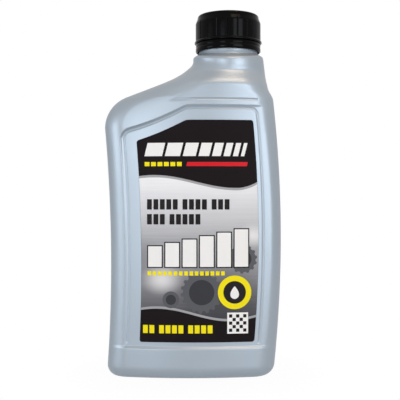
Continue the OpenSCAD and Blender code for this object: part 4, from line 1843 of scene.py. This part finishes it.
@dataclass
class Studio:
    """Camera, lamps, white surroundings and a pale floor. Lengths are in metres."""

    distance: float = 0.53
    camera_x: float = 0.0045
    camera_z: float = 0.1111
    focal_mm: float = 73.2
    sensor_mm: float = 36.0
    floor_size: float = 30.0
    floor_colour: str = "#C4C4C4"
    shadow: float = 0.96
    shadow_from: float = 0.03
    shadow_to: float = 0.09
    world_light: float = 0.1
    lamps: tuple[Lamp, ...] = (
        Lamp("key", (0.8, -1.2, 0.3), 0.8, 10.8),
        Lamp("fill", (-0.5, -1.4, 0.28), 0.4, 5.0),
        Lamp("edge", (-1.25, -0.5, 0.2), 0.5, 5.0),
        Lamp("top", (0.35, -0.5, 1.4), 0.6, 7.5, colour="#FFDDBB"),
        Lamp("back", (-0.3, 1.3, 0.5), 0.6, 9.0, mirrored=False),
    )

    def build_camera(self) -> None:
        """A level camera in front of the bottle, at the photograph's height."""
        data = bpy.data.cameras.new("camera")
        data.sensor_width = self.sensor_mm
        data.lens = self.focal_mm
        camera = bpy.data.objects.new("camera", data)
        camera.location = (self.camera_x, -self.distance, self.camera_z)
        camera.rotation_euler = (QUARTER, 0.0, 0.0)
        bpy.context.scene.collection.objects.link(camera)
        bpy.context.scene.camera = camera

    def build_world(self) -> None:
        """A low even light, which the camera, gloss and glass see as white."""
        world = bpy.data.worlds.new("surroundings")
        tree = empty_tree(world)
        strength = add_node(
            tree, "MapRange", {"To Min": self.world_light, "To Max": 1.0},
            {"Value": white_share(tree)},
        )
        sky = add_node(
            tree, "Background", {"Color": (1.0, 1.0, 1.0, 1.0)}, {"Strength": strength})
        add_node(tree, "OutputWorld", {}, {"Surface": sky})
        bpy.context.scene.world = world

    def build_floor(self) -> None:
        """A pale floor that the camera sees as white but for a faint shade at the bottle."""
        half = self.floor_size / 2.0 / MM
        x, y = np.meshgrid(*[np.linspace(-half, half, 3)] * 2)
        sheet = Sheet()
        sheet.add_quads(sheet.add_points(np.stack([x, y, 0.0 * x], axis=-1)))
        floor = sheet.to_object("floor", merge=False, sharp=40.0)
        material = bpy.data.materials.new("pale_floor")
        tree = empty_tree(material)
        place = add_node(tree, "TexCoord").outputs["Object"]
        far = add_node(tree, "VectorMath", {"operation": "LENGTH"}, {0: place})
        fade = add_node(
            tree, "MapRange",
            {"From Min": self.shadow_from, "From Max": self.shadow_to,
             "To Min": self.shadow, "To Max": 1.0},
            {"Value": far.outputs["Value"]},
        )
        share = add_node(
            tree, "Math", {"operation": "MULTIPLY"}, {0: white_share(tree), 1: fade})
        paint = add_node(tree, "BsdfDiffuse", {"Color": linear_colour(self.floor_colour)})
        glow = add_node(tree, "Emission", {"Strength": 1.0})
        both = add_node(tree, "MixShader", {}, {0: share, 1: paint, 2: glow})
        add_node(tree, "OutputMaterial", {}, {"Surface": both})
        floor.data.materials.append(material)

    def build(self) -> None:
        """Sets up everything round the bottle."""
        bpy.context.scene.view_settings.view_transform = "Standard"
        self.build_camera()
        self.build_world()
        for lamp in self.lamps:
            lamp.build(self.camera_z)
        self.build_floor()
        LOG.info("studio: camera, %d lamps, floor", len(self.lamps))


def main() -> None:
    """Builds the studio and every sub-assembly in order."""
    logging.basicConfig(level=logging.INFO, format="%(message)s")
    Studio().build()
    form = BodyForm()
    shell = BottleShell(form)
    shell.build()
    ScrewClosure(form, shell).build()
    FrontLabel(form).build()
    Contents().build()


if __name__ == "__main__":
    main()
